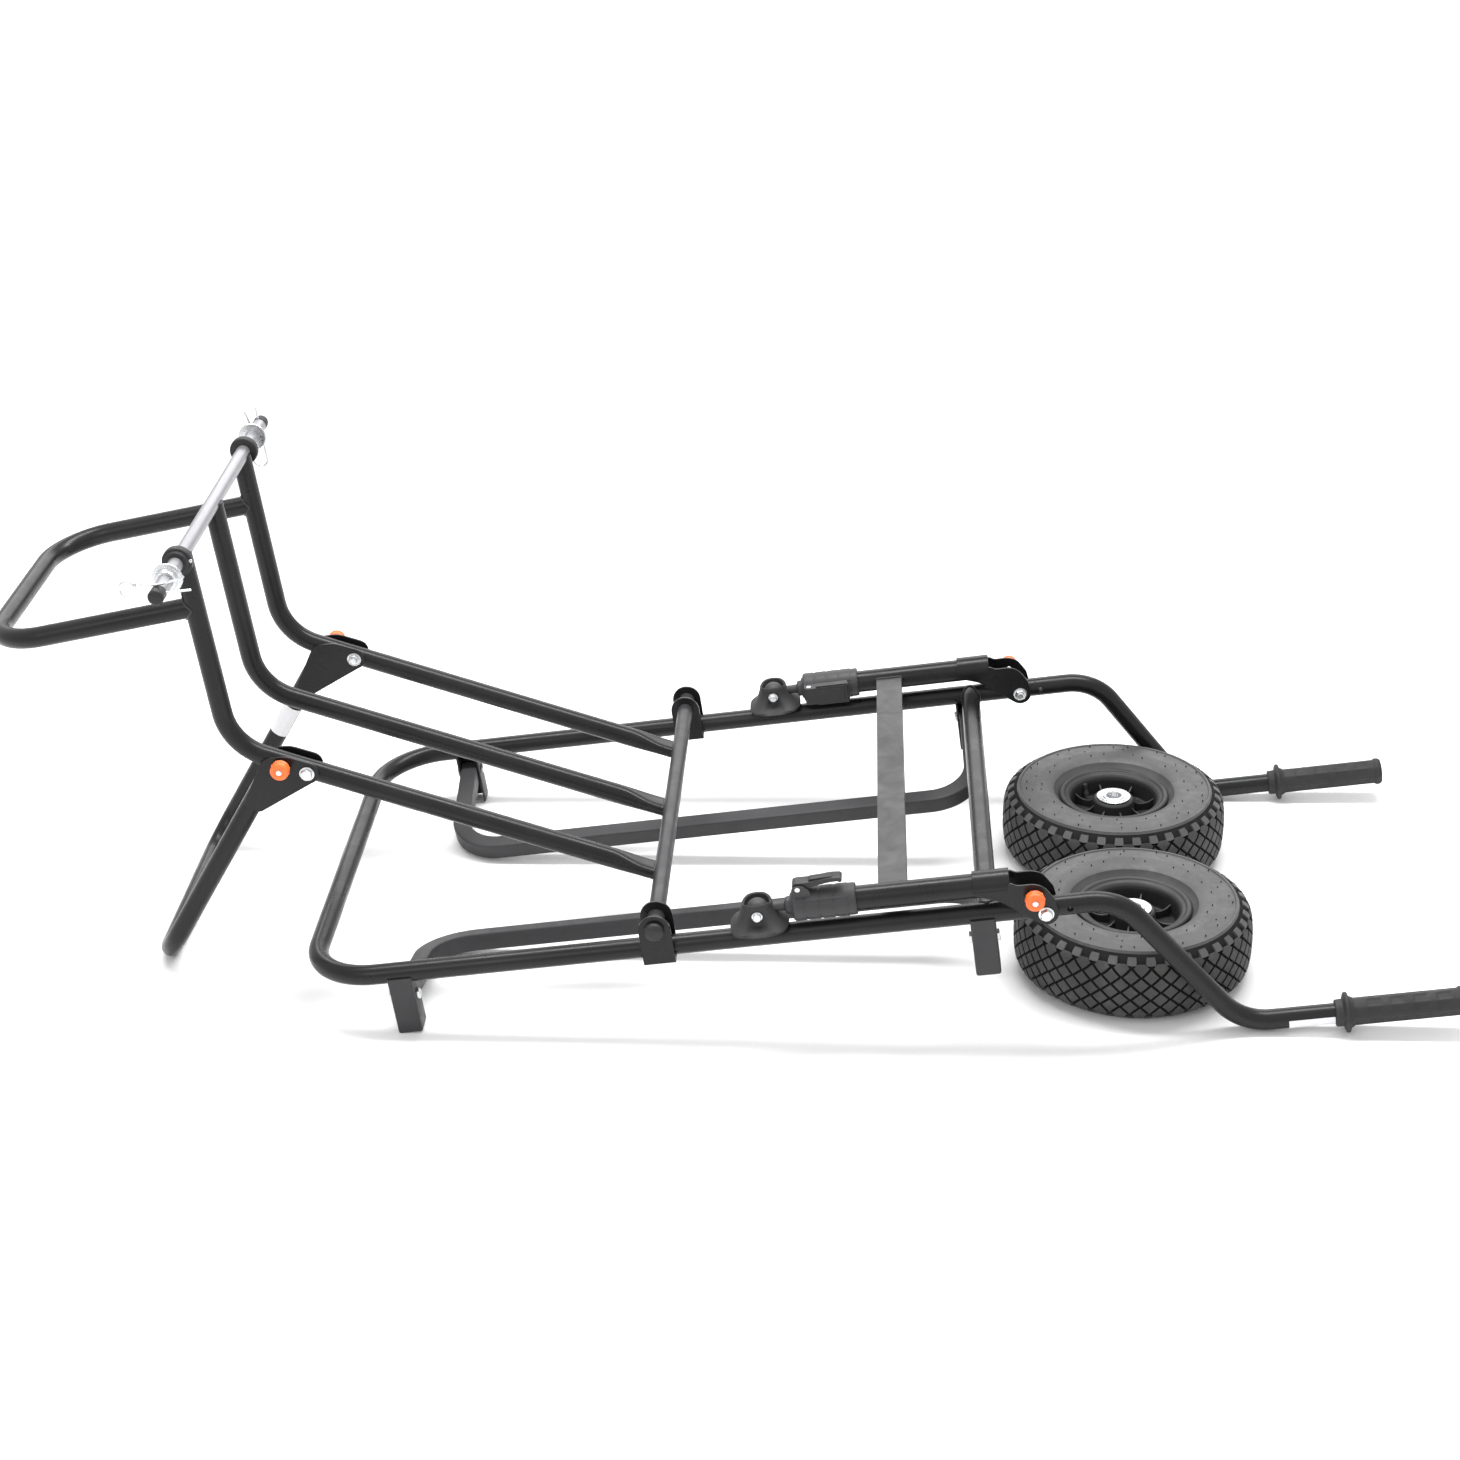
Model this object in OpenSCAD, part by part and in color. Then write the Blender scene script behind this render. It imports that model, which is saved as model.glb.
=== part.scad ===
/* [Main frame] */
// Tilt of the main frame above the floor, handles high (degrees)
frame_tilt = 6.8; // [0:0.1:12]
// Height of the front bar centre above the floor (mm)
front_bar_height = 56.95; // [40:0.05:90]
// Distance between the two side tube centres (mm)
frame_width = 523; // [400:1:700]
// Main tube diameter (mm)
main_tube = 22; // [18:0.5:28]
// Centreline radius of the front corners (mm)
front_corner = 74; // [40:1:120]
// Distance from the front bar to the rear cross tube (mm)
rear_cross_at = 728; // [600:1:800]
// Distance from the front bar to the start of the handle drop (mm)
handle_bend_at = 864; // [820:1:900]
// Drop from the side tubes to the grips (mm)
handle_drop = 165; // [100:1:200]
// Slope of the dropping handle tube (degrees)
handle_slope = 55; // [30:1:75]
// How much later the far handle starts to drop (mm)
far_handle_shift = 14; // [0:1:20]
// Distance from the front bar to the grip end (mm)
grip_end_at = 1214; // [1150:1:1300]
// Grip length behind its flange (mm)
grip_length = 127; // [90:1:150]

/* [Axle frame] */
// Distance from the front bar to the pivot tube (mm)
pivot_at = 382; // [300:1:450]
// Height of the pivot tube centre above the side tube centres (mm)
pivot_up = 28; // [24:0.5:40]
// Pivot tube diameter (mm)
pivot_tube_d = 18; // [14:0.5:22]
// Distance between the two outer J tubes (mm)
j_spacing = 290; // [240:1:340]
// J tube diameter (mm)
j_tube_d = 22; // [18:0.5:26]
// How far below the pivot tube centre the J tubes meet it (mm)
j_drop = 6; // [0:0.5:8]
// Rise of the straight J tubes above the main frame (degrees)
j_rise = 25; // [15:0.5:35]
// Distance from the pivot tube forward to the standing part of the J tubes (mm)
j_reach = 438; // [380:1:480]
// Height of the axle above the side tube centres (mm)
axle_up = 455; // [380:1:500]
// Bend radius of the J tubes (mm)
j_bend = 62; // [40:1:90]
// Axle diameter (mm)
axle_d = 16; // [12:0.5:20]
// Axle length (mm)
axle_length = 512; // [440:1:600]
// Distance the front loop reaches ahead of the J tubes (mm)
loop_reach = 233; // [150:1:260]
// Height where the loop leaves the J tubes (mm)
loop_up = 396; // [350:1:430]
// Slope of the front loop (degrees)
loop_slope = 4.5; // [0:0.5:10]

/* [Prop leg] */
// Distance from the pivot tube to the prop leg bolt along the J tube (mm)
prop_bolt_at = 396; // [350:1:420]
// Lean of the prop leg from upright (degrees)
prop_lean = 38; // [20:1:50]
// Offset of the prop leg line from its bolt (mm)
prop_offset = 35; // [25:1:45]
// Length of the prop leg from the bolt level to its floor bar (mm)
prop_length = 304.5; // [250:0.5:320]

/* [Rear legs] */
// Distance from the front bar to the rear leg bolt (mm)
rear_bolt_at = 788; // [760:1:800]
// Height of the folded leg tubes above the side tubes (mm)
rear_leg_up = 33; // [30:0.5:40]
// Rear leg tube diameter (mm)
rear_tube_d = 26; // [22:0.5:30]
// Distance from the front bar to the flat cross bar (mm)
flat_bar_at = 633; // [600:1:660]
// Width of the flat cross bar (mm)
flat_bar_width = 30; // [20:1:40]
// Diameter of the sliding inner leg (mm)
inner_leg_d = 19; // [14:0.5:20]
// Distance from the front bar to the foot knuckle (mm)
foot_at = 491; // [480:1:510]
// Diameter of the foot pad (mm)
foot_d = 65; // [50:1:66]

/* [Side rails] */
// Square rail tube size (mm)
rail_tube = 20; // [16:1:25]
// Length of a rail leg from its pin to the long member (mm)
rail_leg = 157; // [120:1:180]
// Dip of the folded rails below the frame (degrees)
rail_dip = 11.5; // [5:0.5:20]
// Corner radius of the rails (mm)
rail_corner = 52; // [30:1:70]
// Depth of the rail pins below the side tube centres (mm)
rail_pin_down = 28; // [25:0.5:35]
// Reach of the posts below the side tube centres (mm)
post_down = 68; // [60:0.5:80]
// Post width (mm)
post_width = 26.5; // [24:0.5:30]
// Distance from the front bar to the front posts (mm)
front_post_at = 102; // [90:1:120]
// Distance from the front bar to the rear posts (mm)
rear_post_at = 722; // [700:1:740]

/* [Wheels] */
// Tyre outside diameter (mm)
tyre_d = 260; // [200:1:300]
// Tyre width (mm)
tyre_w = 85; // [60:1:100]
// Distance of the near wheel behind the front bar, along the floor (mm)
near_wheel_at = 888; // [860:1:900]
// Distance of the far wheel behind the front bar, along the floor (mm)
far_wheel_at = 888; // [860:1:900]
// Sideways place of the near wheel (mm)
near_wheel_y = -129.5; // [-150:0.5:-100]
// Sideways place of the far wheel (mm)
far_wheel_y = 131; // [100:0.5:150]
// Bore of the wheel bearing sleeve (mm)
wheel_bore = 16.6; // [16.1:0.1:20]

/* [Plungers] */
// Orange knob diameter (mm)
knob_d = 20; // [16:0.5:24]
// Orange knob length (mm)
knob_length = 12; // [8:0.5:16]

/* [Hidden] */
$fn = 64;
half = frame_width / 2;
tube_r = main_tube / 2;
j_r = j_tube_d / 2;
j_half = j_spacing / 2;
sheet = 2.5;
gap = 0.3;
centre_shift = 442.28;
stand_x = pivot_at - j_reach;
corner_z = pivot_up + j_reach * tan(j_rise);
prop_bolt_x = pivot_at - prop_bolt_at * cos(j_rise);
prop_bolt_z = pivot_up + prop_bolt_at * sin(j_rise);
steel = [0.05, 0.05, 0.055];
zinc = [0.72, 0.73, 0.74];
rubber = [0.04, 0.04, 0.045];
plastic = [0.07, 0.07, 0.075];
orange = [0.95, 0.33, 0.12];

// The tilted frame: x runs back along the side tubes, z is square to them.
module cart() {
    translate([-centre_shift, 0, front_bar_height]) rotate([0, -frame_tilt, 0]) children();
}

module floor_set() {
    translate([-centre_shift, 0, 0]) children();
}

// Mirrors a far-side piece to the near side.
module near() {
    mirror([0, 1, 0]) children();
}

function unit(v) = v / norm(v);
function heading(a, b) = atan2(b[1] - a[1], b[0] - a[0]);
function turn(a, b, c) = let (t = heading(b, c) - heading(a, b)) t > 180 ? t - 360 : t < -180 ? t + 360 : t;
function setback(a, b, c, r) = r * tan(abs(turn(a, b, c)) / 2);

// A bent bar along flat points in x and y, with one bend radius; the child is its section.
// Where band is given, a hair-thin disc of that radius closes each joint.
module bar(p, r, band = 0) {
    n = len(p);
    for (i = [0 : n - 2]) {
        cut_a = i == 0 ? 0 : setback(p[i - 1], p[i], p[i + 1], r);
        cut_b = i == n - 2 ? 0 : setback(p[i], p[i + 1], p[i + 2], r);
        start = p[i] + unit(p[i + 1] - p[i]) * cut_a;
        length = norm(p[i + 1] - p[i]) - cut_a - cut_b;
        if (length > 0.001)
            translate([start[0], start[1], 0])
                rotate([0, 0, heading(p[i], p[i + 1])])
                    rotate([90, 0, 90])
                        linear_extrude(length) children();
    }
    if (n > 2)
        for (i = [1 : n - 2]) {
            t = turn(p[i - 1], p[i], p[i + 1]);
            h = heading(p[i - 1], p[i]);
            s = t > 0 ? 1 : -1;
            start = p[i] - unit(p[i] - p[i - 1]) * setback(p[i - 1], p[i], p[i + 1], r);
            centre = start + s * r * [-sin(h), cos(h)];
            translate([centre[0], centre[1], 0])
                rotate([0, 0, t > 0 ? h - 90 : h + 90 + t])
                    rotate_extrude(angle = abs(t)) translate([r, 0]) children();
            if (band > 0)
                translate([centre[0], centre[1], 0])
                    for (a = [0, t])
                        rotate([0, 0, h + a])
                            translate([0, -s * r, 0])
                                rotate([0, 90, 0]) cylinder(h = 0.6, r = band, center = true);
        }
}

// Stands a flat drawing up: its y becomes z.
module upright() {
    rotate([90, 0, 0]) children();
}

// A round bar across the frame, centred on y.
module across(x, y, z, length, r) {
    translate([x, y, z]) rotate([90, 0, 0]) cylinder(h = length, r = r, center = true);
}

module hex_across(x, y, z, flats, height) {
    translate([x, y, z]) rotate([90, 0, 0]) cylinder(h = height, d = flats / cos(30), $fn = 6, center = true);
}

// ---- main frame ----
front_end = front_corner + 10;

module front_bar() {
    color(steel)
        cart() bar([[front_end, -half], [0, -half], [0, half], [front_end, half]], front_corner) circle(tube_r);
}

module side_tube() {
    translate([0, half, 0])
        difference() {
            translate([front_end, 0, 0])
                rotate([0, 90, 0]) cylinder(h = handle_bend_at - 40 - front_end, r = tube_r);
            across(rear_bolt_at, 0, 0, 40, 4.05);
            across(rear_bolt_at + 25, 0, 0, 40, 3.3);
        }
}

module side_tube_near() {
    color(steel) cart() near() side_tube();
}

module side_tube_far() {
    color(steel) cart() side_tube();
}

handle_run = handle_drop / tan(handle_slope);

module handle_tube(shift) {
    translate([0, half, 0])
        upright()
            bar([
                [handle_bend_at - 40, 0],
                [handle_bend_at + shift, 0],
                [handle_bend_at + handle_run, -handle_drop],
                [grip_end_at - 3, -handle_drop]
            ], 60, tube_r + 0.04) circle(tube_r);
}

module handle_tube_near() {
    color(steel) cart() near() handle_tube(0);
}

module handle_tube_far() {
    color(steel) cart() handle_tube(far_handle_shift);
}

module rear_cross_tube() {
    color(steel)
        cart()
            difference() {
                across(rear_cross_at, 0, 0, frame_width - 2, tube_r);
                for (s = [-1, 1])
                    translate([rear_cross_at, s * half, 0])
                        rotate([0, 90, 0]) cylinder(h = 60, r = tube_r, center = true);
            }
}

saddle_width = 34;

module saddle() {
    translate([pivot_at, half, 0])
        difference() {
            for (s = [-1, 1])
                translate([0, s * (tube_r + 3 + sheet / 2), 0])
                    rotate([90, 0, 0])
                        linear_extrude(sheet, center = true)
                            difference() {
                                union() {
                                    translate([0, pivot_up]) circle(saddle_width / 2);
                                    translate([-saddle_width / 2, -tube_r - 1]) square([saddle_width, pivot_up + tube_r + 1]);
                                }
                                translate([0, pivot_up]) circle(pivot_tube_d / 2 + 0.08);
                            }
        }
    translate([pivot_at - saddle_width / 2, half - tube_r - 3 - sheet, -tube_r - 1.5])
        cube([saddle_width, 2 * (tube_r + 3 + sheet), sheet]);
    for (s = [-1, 1])
        translate([pivot_at - saddle_width / 2, half + s * (tube_r + 1.5) - 1.55, -4])
            cube([saddle_width, 3.1, 8]);
}

module saddle_clear() {
    difference() {
        saddle();
        translate([pivot_at, half, 0]) rotate([0, 90, 0]) cylinder(h = 60, r = tube_r, center = true);
    }
}

module saddle_near() {
    color(steel) cart() near() saddle_clear();
}

module saddle_far() {
    color(steel) cart() saddle_clear();
}

// Open channel post with its web outward.
module post(x) {
    w = post_width;
    translate([x, half, -post_down])
        difference() {
            translate([-w / 2, -w / 2, 0]) cube([w, w, post_down - 2]);
            translate([-w / 2 + sheet, -w / 2 - 1, -1]) cube([w - 2 * sheet, w - sheet + 1, post_down + 2]);
            translate([0, 0, post_down - rail_pin_down])
                rotate([0, 90, 0]) cylinder(h = 60, r = 4.05, center = true);
            translate([0, 0, post_down]) rotate([0, 90, 0]) cylinder(h = 60, r = tube_r, center = true);
            translate([0, -w / 2, 0]) rotate([0, 90, 0]) cylinder(h = 60, r = 4, center = true);
        }
}

module rail_posts() {
    color(steel)
        cart()
            difference() {
                for (x = [front_post_at, rear_post_at]) {
                    post(x);
                    near() post(x);
                }
                across(rear_cross_at, 0, 0, frame_width, tube_r + 0.05);
            }
}

module grip() {
    translate([grip_end_at - grip_length, half, -handle_drop])
        rotate([0, 90, 0])
            difference() {
                union() {
                    cylinder(h = 4, r = 21.5);
                    translate([0, 0, -10]) cylinder(h = 11, r = 14.5);
                    translate([0, 0, 4]) cylinder(h = 7, r1 = 17, r2 = 15);
                    translate([0, 0, 4]) cylinder(h = grip_length - 10, r = 15);
                    translate([0, 0, grip_length - 6]) cylinder(h = 4, r = 16);
                    translate([0, 0, grip_length - 2]) cylinder(h = 2, r1 = 16, r2 = 13);
                }
                translate([0, 0, -20]) cylinder(h = grip_length + 17, r = tube_r);
                for (a = [0 : 45 : 315])
                    rotate([0, 0, a])
                        for (k = [0 : 3])
                            translate([14.2, -4, 22 + k * 24]) cube([4, 8, 17]);
            }
}

module grip_near() {
    color(rubber) cart() near() grip();
}

module grip_far() {
    color(rubber) cart() grip();
}

// ---- axle frame ----
module pivot_tube() {
    color(steel) cart() across(pivot_at, 0, pivot_up, frame_width + 34, pivot_tube_d / 2);
}

module pivot_caps() {
    color(plastic)
        cart()
            for (s = [-1, 1])
                translate([pivot_at, s * (half + 17), pivot_up])
                    rotate([s * -90, 0, 0])
                        intersection() {
                            cylinder(h = 8, r = 10.5);
                            translate([0, 0, -6]) sphere(14);
                        }
}

module j_path(y) {
    translate([0, y, 0])
        upright()
            bar([[pivot_at, pivot_up - j_drop], [stand_x, corner_z], [stand_x, axle_up]], j_bend, j_r + 0.04)
                circle(j_r);
}

module j_tube(y) {
    difference() {
        j_path(y);
        across(pivot_at, y, pivot_up, 60, pivot_tube_d / 2);
        across(stand_x, y, axle_up, 60, axle_d / 2);
        translate([pivot_at, y - 30, pivot_up - 30]) cube([60, 60, 60]);
        if (y != 0) {
            across(prop_bolt_x, y, prop_bolt_z, 60, 4.05);
            across(prop_bolt_x - 28 * cos(j_rise), y, prop_bolt_z + 28 * sin(j_rise), 60, 3.3);
        }
    }
}

module j_tube_near() {
    color(steel) cart() j_tube(-j_half);
}

module j_tube_middle() {
    color(steel) cart() j_tube(0);
}

module j_tube_far() {
    color(steel) cart() j_tube(j_half);
}

pin_hole_y = axle_length / 2 - 10;

module axle_rod() {
    color([0.45, 0.46, 0.48])
        cart()
            difference() {
                across(stand_x, 0, axle_up, axle_length, axle_d / 2);
                translate([stand_x, -pin_hole_y, axle_up])
                    rotate([0, 90, 0]) cylinder(h = 40, r = 1.6, center = true);
                translate([stand_x, pin_hole_y, axle_up]) cylinder(h = 40, r = 1.6, center = true);
            }
}

module ring(x, y, z, length, outer, inner) {
    difference() {
        across(x, y, z, length, outer);
        across(x, y, z, length + 2, inner);
    }
}

module axle_collars() {
    color(plastic)
        cart()
            for (s = [-1, 1]) {
                ring(stand_x, s * (j_half + 17), axle_up, 10, 16, axle_d / 2);
                ring(stand_x, s * (j_half + 24), axle_up, 4, 13, axle_d / 2);
            }
}

module axle_end_caps() {
    color(plastic)
        cart()
            for (s = [-1, 1])
                translate([stand_x, s * axle_length / 2, axle_up])
                    rotate([s * -90, 0, 0]) cylinder(h = 3, r1 = axle_d / 2, r2 = axle_d / 2 - 1.5);
}

module axle_washer(s) {
    ring(stand_x, s * (j_half + 62), axle_up, 2.5, 16, axle_d / 2 + 0.08);
    ring(stand_x, s * (j_half + 68), axle_up, 9, 11.5, axle_d / 2 + 0.08);
}

module axle_washer_near() {
    color(zinc) cart() axle_washer(-1);
}

module axle_washer_far() {
    color(zinc) cart() axle_washer(1);
}

module front_loop() {
    color(steel)
        cart()
            difference() {
                translate([stand_x, 0, loop_up])
                    rotate([0, -loop_slope, 0])
                        bar([[0, -j_half], [-loop_reach, -j_half], [-loop_reach, j_half], [0, j_half]], 62)
                            circle(j_r);
                for (s = [-1, 1])
                    translate([stand_x, s * j_half, loop_up]) cylinder(h = 80, r = j_r, center = true);
            }
}

module wire(a, b, r) {
    translate([a[0], a[1], 0])
        rotate([0, 0, heading(a, b)]) rotate([0, 90, 0]) cylinder(h = norm(b - a), r = r);
}

// Spring wire clip: one straight leg through the axle, one leg passing over it.
module hairpin() {
    r = 1.3;
    wire([-29, 0], [34, 0], r);
    translate([-30, 8, 0]) rotate([0, 0, 30]) rotate_extrude(angle = 250) translate([8, 0]) circle(r);
    wire([-24, 12], [30, 10.8], r);
}

module hairpin_near() {
    color(zinc)
        cart() translate([stand_x, -pin_hole_y, axle_up]) rotate([90, 0, 0]) hairpin();
}

module hairpin_far() {
    color(zinc)
        cart()
            translate([stand_x, pin_hole_y, axle_up - 12])
                rotate([0, -90, 0]) rotate([90, 0, 0]) hairpin();
}

// ---- prop leg ----
// Prop leg drawing: origin at its bolt, x toward the J frame front, leg line drawn downwards.
module at_prop(y) {
    translate([prop_bolt_x, y, prop_bolt_z]) rotate([0, prop_lean, 0]) children();
}

prop_top = -23.5;

module prop_leg() {
    color(steel)
        cart()
            translate([prop_bolt_x, 0, prop_bolt_z])
                rotate([0, prop_lean, 0])
                    translate([-prop_offset, 0, 0])
                        rotate([0, 90, 0])
                            bar([
                                [-prop_top, -j_half],
                                [prop_length, -j_half],
                                [prop_length, j_half],
                                [-prop_top, j_half]
                            ], 45) circle(j_r);
}

module prop_plate() {
    linear_extrude(sheet, center = true)
        difference() {
            union() {
                circle(12.5);
                polygon([[0, 12.5], [-27, 12.5], [-50, 2], [-57.5, -58], [-39, -63], [9, -8.7]]);
            }
            circle(4.05);
            translate([-28, 0]) circle(4.3);
        }
}

// The two cheeks are drawn square to the J tube; the web closes them below the tube.
module prop_bracket(y) {
    translate([prop_bolt_x, y, prop_bolt_z])
        rotate([0, j_rise, 0])
            for (s = [-1, 1])
                translate([0, s * (j_r + 0.6 + sheet / 2), 0]) rotate([90, 0, 0]) prop_plate();
}

module prop_bracket_near() {
    color(steel) cart() prop_bracket(-j_half);
}

module prop_bracket_far() {
    color(steel) cart() prop_bracket(j_half);
}

// One bolt with its head and nut, and the plunger barrel outside one cheek.
module fixing(x, y, z, grip_half, s, kx, kz) {
    across(x, y, z, 2 * grip_half + 8, 4);
    for (e = [-1, 1])
        hex_across(x, y + e * (grip_half + 2.8), z, 12, 5);
    translate([kx, y + s * (grip_half + 0.2), kz])
        rotate([s * -90, 0, 0])
            difference() {
                cylinder(h = 3, r = 7.5);
                translate([0, 0, -1]) cylinder(h = 6, r = 3.1);
            }
}

prop_half = j_r + 0.6 + sheet;
prop_knob_x = prop_bolt_x - 28 * cos(j_rise);
prop_knob_z = prop_bolt_z + 28 * sin(j_rise);

module prop_fixings() {
    color(zinc)
        cart()
            for (s = [-1, 1])
                fixing(prop_bolt_x, s * j_half, prop_bolt_z, prop_half, s, prop_knob_x, prop_knob_z);
}

// Pull knob with its locking pin; it slides outward along y.
module knob(x, y, z, s, pin) {
    translate([x, y, z])
        rotate([s * -90, 0, 0]) {
            translate([0, 0, 3.6]) cylinder(h = knob_length - 2, r = knob_d / 2);
            translate([0, 0, 1.6 + knob_length]) cylinder(h = 2, r1 = knob_d / 2, r2 = knob_d / 2 - 2);
            translate([0, 0, -pin]) cylinder(h = pin + 4, r = 3);
        }
}

module prop_knob_near() {
    color(orange) cart() knob(prop_knob_x, -j_half - prop_half, prop_knob_z, -1, 2.7);
}

module prop_knob_far() {
    color(orange) cart() knob(prop_knob_x, j_half + prop_half, prop_knob_z, 1, 2.7);
}

// ---- rear legs ----
clamp_start = foot_at + 36;

module rear_tube() {
    translate([clamp_start + 4, half, rear_leg_up])
        rotate([0, 90, 0])
            difference() {
                cylinder(h = rear_bolt_at - 62 - clamp_start, r = rear_tube_d / 2);
                translate([0, 0, -1]) cylinder(h = 147, r = inner_leg_d / 2 + 0.1);
            }
}

module rear_tube_near() {
    color(steel) cart() near() rear_tube();
}

module rear_tube_far() {
    color(steel) cart() rear_tube();
}

module flat_bar() {
    color(steel)
        cart()
            difference() {
                translate([flat_bar_at - flat_bar_width / 2, -half, rear_leg_up - 6])
                    cube([flat_bar_width, frame_width, 12]);
                for (s = [-1, 1])
                    translate([flat_bar_at, s * half, rear_leg_up])
                        rotate([0, 90, 0]) cylinder(h = 60, r = rear_tube_d / 2, center = true);
            }
}

rear_half = rear_tube_d / 2 + sheet;

// Folded sheet bracket: a cap over the tube end and two cheeks down to the bolt.
module rear_bracket() {
    r = rear_tube_d / 2;
    translate([rear_bolt_at, half, 0]) {
        for (s = [-1, 1])
            translate([0, s * (r + sheet / 2), 0])
                rotate([90, 0, 0])
                    linear_extrude(sheet, center = true)
                        difference() {
                            union() {
                                circle(13);
                                polygon([
                                    [-72, rear_leg_up], [-72, rear_leg_up - 4], [-46, rear_leg_up - 13],
                                    [-10, -9], [13, 0], [10, 16], [0, 32], [-9, 36], [-28, 36], [-34, rear_leg_up + 6]
                                ]);
                            }
                            circle(4.05);
                            translate([-10, 22]) circle(4.3);
                        }
        translate([-72, 0, rear_leg_up])
            rotate([0, 90, 0])
                difference() {
                    cylinder(h = 38, r = r + sheet);
                    translate([0, 0, -1]) cylinder(h = 40, r = r);
                    translate([0, -30, -1]) cube([40, 60, 60]);
                }
    }
}

module rear_bracket_near() {
    color(steel) cart() near() rear_bracket();
}

module rear_bracket_far() {
    color(steel) cart() rear_bracket();
}

module rear_fixings() {
    color(zinc)
        cart()
            for (s = [-1, 1])
                fixing(rear_bolt_at, s * half, 0, rear_half, s, rear_bolt_at - 10, 22);
}

module rear_knob_near() {
    color(orange) cart() knob(rear_bolt_at - 10, -half - rear_half, 22, -1, 3.9);
}

module rear_knob_far() {
    color(orange) cart() knob(rear_bolt_at - 10, half + rear_half, 22, 1, 3.9);
}

// Plastic clamp sleeve at the tube mouth, ribbed, with a lever seat.
module clamp(a) {
    translate([clamp_start, half, rear_leg_up])
        rotate([0, 90, 0])
            difference() {
                union() {
                    translate([0, 0, 1]) cylinder(h = 62, r = 16.5);
                    for (z = [1, 16, 31, 46])
                        translate([0, 0, z]) cylinder(h = 12, r = 17.5);
                    translate([0, 0, 62]) cylinder(h = 6, r = 16.5);
                    translate([0, 0, -1]) cylinder(h = 2.5, r = 12.5);
                    rotate([0, 0, a])
                        for (s = [-1, 1])
                            translate([12, s * 9 - 1.5, 4]) cube([14, 3, 10]);
                }
                translate([0, 0, 4]) cylinder(h = 80, r = rear_tube_d / 2);
                translate([0, 0, -10]) cylinder(h = 30, r = inner_leg_d / 2 + 0.1);
                rotate([0, 0, a])
                    translate([22.5, 0, 9]) rotate([90, 0, 0]) cylinder(h = 40, r = 1.55, center = true);
            }
}

module clamp_near() {
    color(plastic) cart() near() clamp(180);
}

module clamp_far() {
    color(plastic) cart() clamp(270);
}

// Cam lever lying along the sleeve, hinged on its seat.
module cam_lever(a) {
    translate([clamp_start, half, rear_leg_up])
        rotate([0, 90, 0])
            rotate([0, 0, a])
                union() {
                    translate([18.2, -7, 7.5]) cube([8, 14, 44]);
                    translate([20.2, -11, 16]) cube([7, 22, 38]);
                    translate([22.5, 0, 9]) rotate([90, 0, 0]) cylinder(h = 21, r = 1.5, center = true);
                    translate([22.5, 0, 9]) rotate([90, 0, 0]) cylinder(h = 14, r = 3.7, center = true);
                }
}

module cam_lever_near() {
    color(plastic) cart() near() cam_lever(180);
}

module cam_lever_far() {
    color(plastic) cart() cam_lever(270);
}

knuckle_up = 32;

module inner_leg() {
    difference() {
        union() {
            translate([foot_at + 30.5, half, rear_leg_up]) rotate([0, 90, 0]) cylinder(h = 119.5, r = inner_leg_d / 2);
            translate([foot_at, half, knuckle_up]) rotate([0, 90, 0]) cylinder(h = 32, r = 5);
            translate([foot_at, half, knuckle_up]) sphere(12.5);
        }
        across(foot_at, half, knuckle_up, 40, 3.05);
    }
}

module inner_leg_near() {
    color(plastic) cart() near() inner_leg();
}

module inner_leg_far() {
    color(plastic) cart() inner_leg();
}

foot_base = 14.6;

// Flared rubber foot around the knuckle.
module foot() {
    difference() {
        union() {
            translate([foot_at, half, foot_base]) cylinder(h = 3, r = foot_d / 2);
            translate([foot_at, half, foot_base + 3]) cylinder(h = 21, r1 = foot_d / 2 - 1, r2 = 17);
        }
        translate([foot_at, half, knuckle_up]) sphere(12.9);
        translate([foot_at, half, knuckle_up]) cylinder(h = 30, r = 12.9);
        translate([foot_at, half - 7, knuckle_up - 8]) cube([60, 14, 60]);
        across(foot_at, half, knuckle_up, 60, 2.95);
        for (s = [-1, 1])
            across(foot_at, half + s * 28, knuckle_up, 20, 8);
    }
}

module foot_near() {
    color(rubber) cart() near() foot();
}

module foot_far() {
    color(rubber) cart() foot();
}

module foot_bolt() {
    across(foot_at, half, knuckle_up, 38, 2.95);
    for (s = [-1, 1])
        hex_across(foot_at, half + s * 20, knuckle_up, 9, 4);
}

module foot_bolts_near() {
    color(zinc) cart() near() foot_bolt();
}

module foot_bolts_far() {
    color(zinc) cart() foot_bolt();
}

// ---- side rails ----
rail_a = front_post_at;
rail_b = rear_post_at;

// Places a far rail drawn flat, with y counted inward from its pins inside the posts.
module at_rail() {
    translate([0, half, -rail_pin_down]) rotate([rail_dip, 0, 0]) mirror([0, 1, 0]) children();
}

module rail() {
    at_rail()
        difference() {
            union() {
                bar([[rail_a, 0], [rail_a, rail_leg], [rail_b, rail_leg], [rail_b, 0]], rail_corner)
                    square(rail_tube, center = true);
                for (x = [rail_a, rail_b])
                    translate([x, 0, 0])
                        rotate([0, 90, 0]) cylinder(h = rail_tube, r = rail_tube / 2, center = true);
            }
            for (x = [rail_a, rail_b])
                translate([x, 0, 0]) rotate([0, 90, 0]) cylinder(h = 60, r = 4, center = true);
        }
}

module rail_near() {
    color(steel) cart() near() rail();
}

module rail_far() {
    color(steel) cart() rail();
}

module rail_pins() {
    at_rail()
        for (x = [rail_a, rail_b])
            translate([x, 0, 0])
                rotate([0, 90, 0]) {
                    cylinder(h = post_width + 6, r = 4, center = true);
                    for (e = [-1, 1])
                        translate([0, 0, e * (post_width / 2 + 1.7)]) cylinder(h = 2.6, r = 6.2, center = true);
                }
}

module rail_pins_near() {
    color(zinc) cart() near() rail_pins();
}

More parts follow.
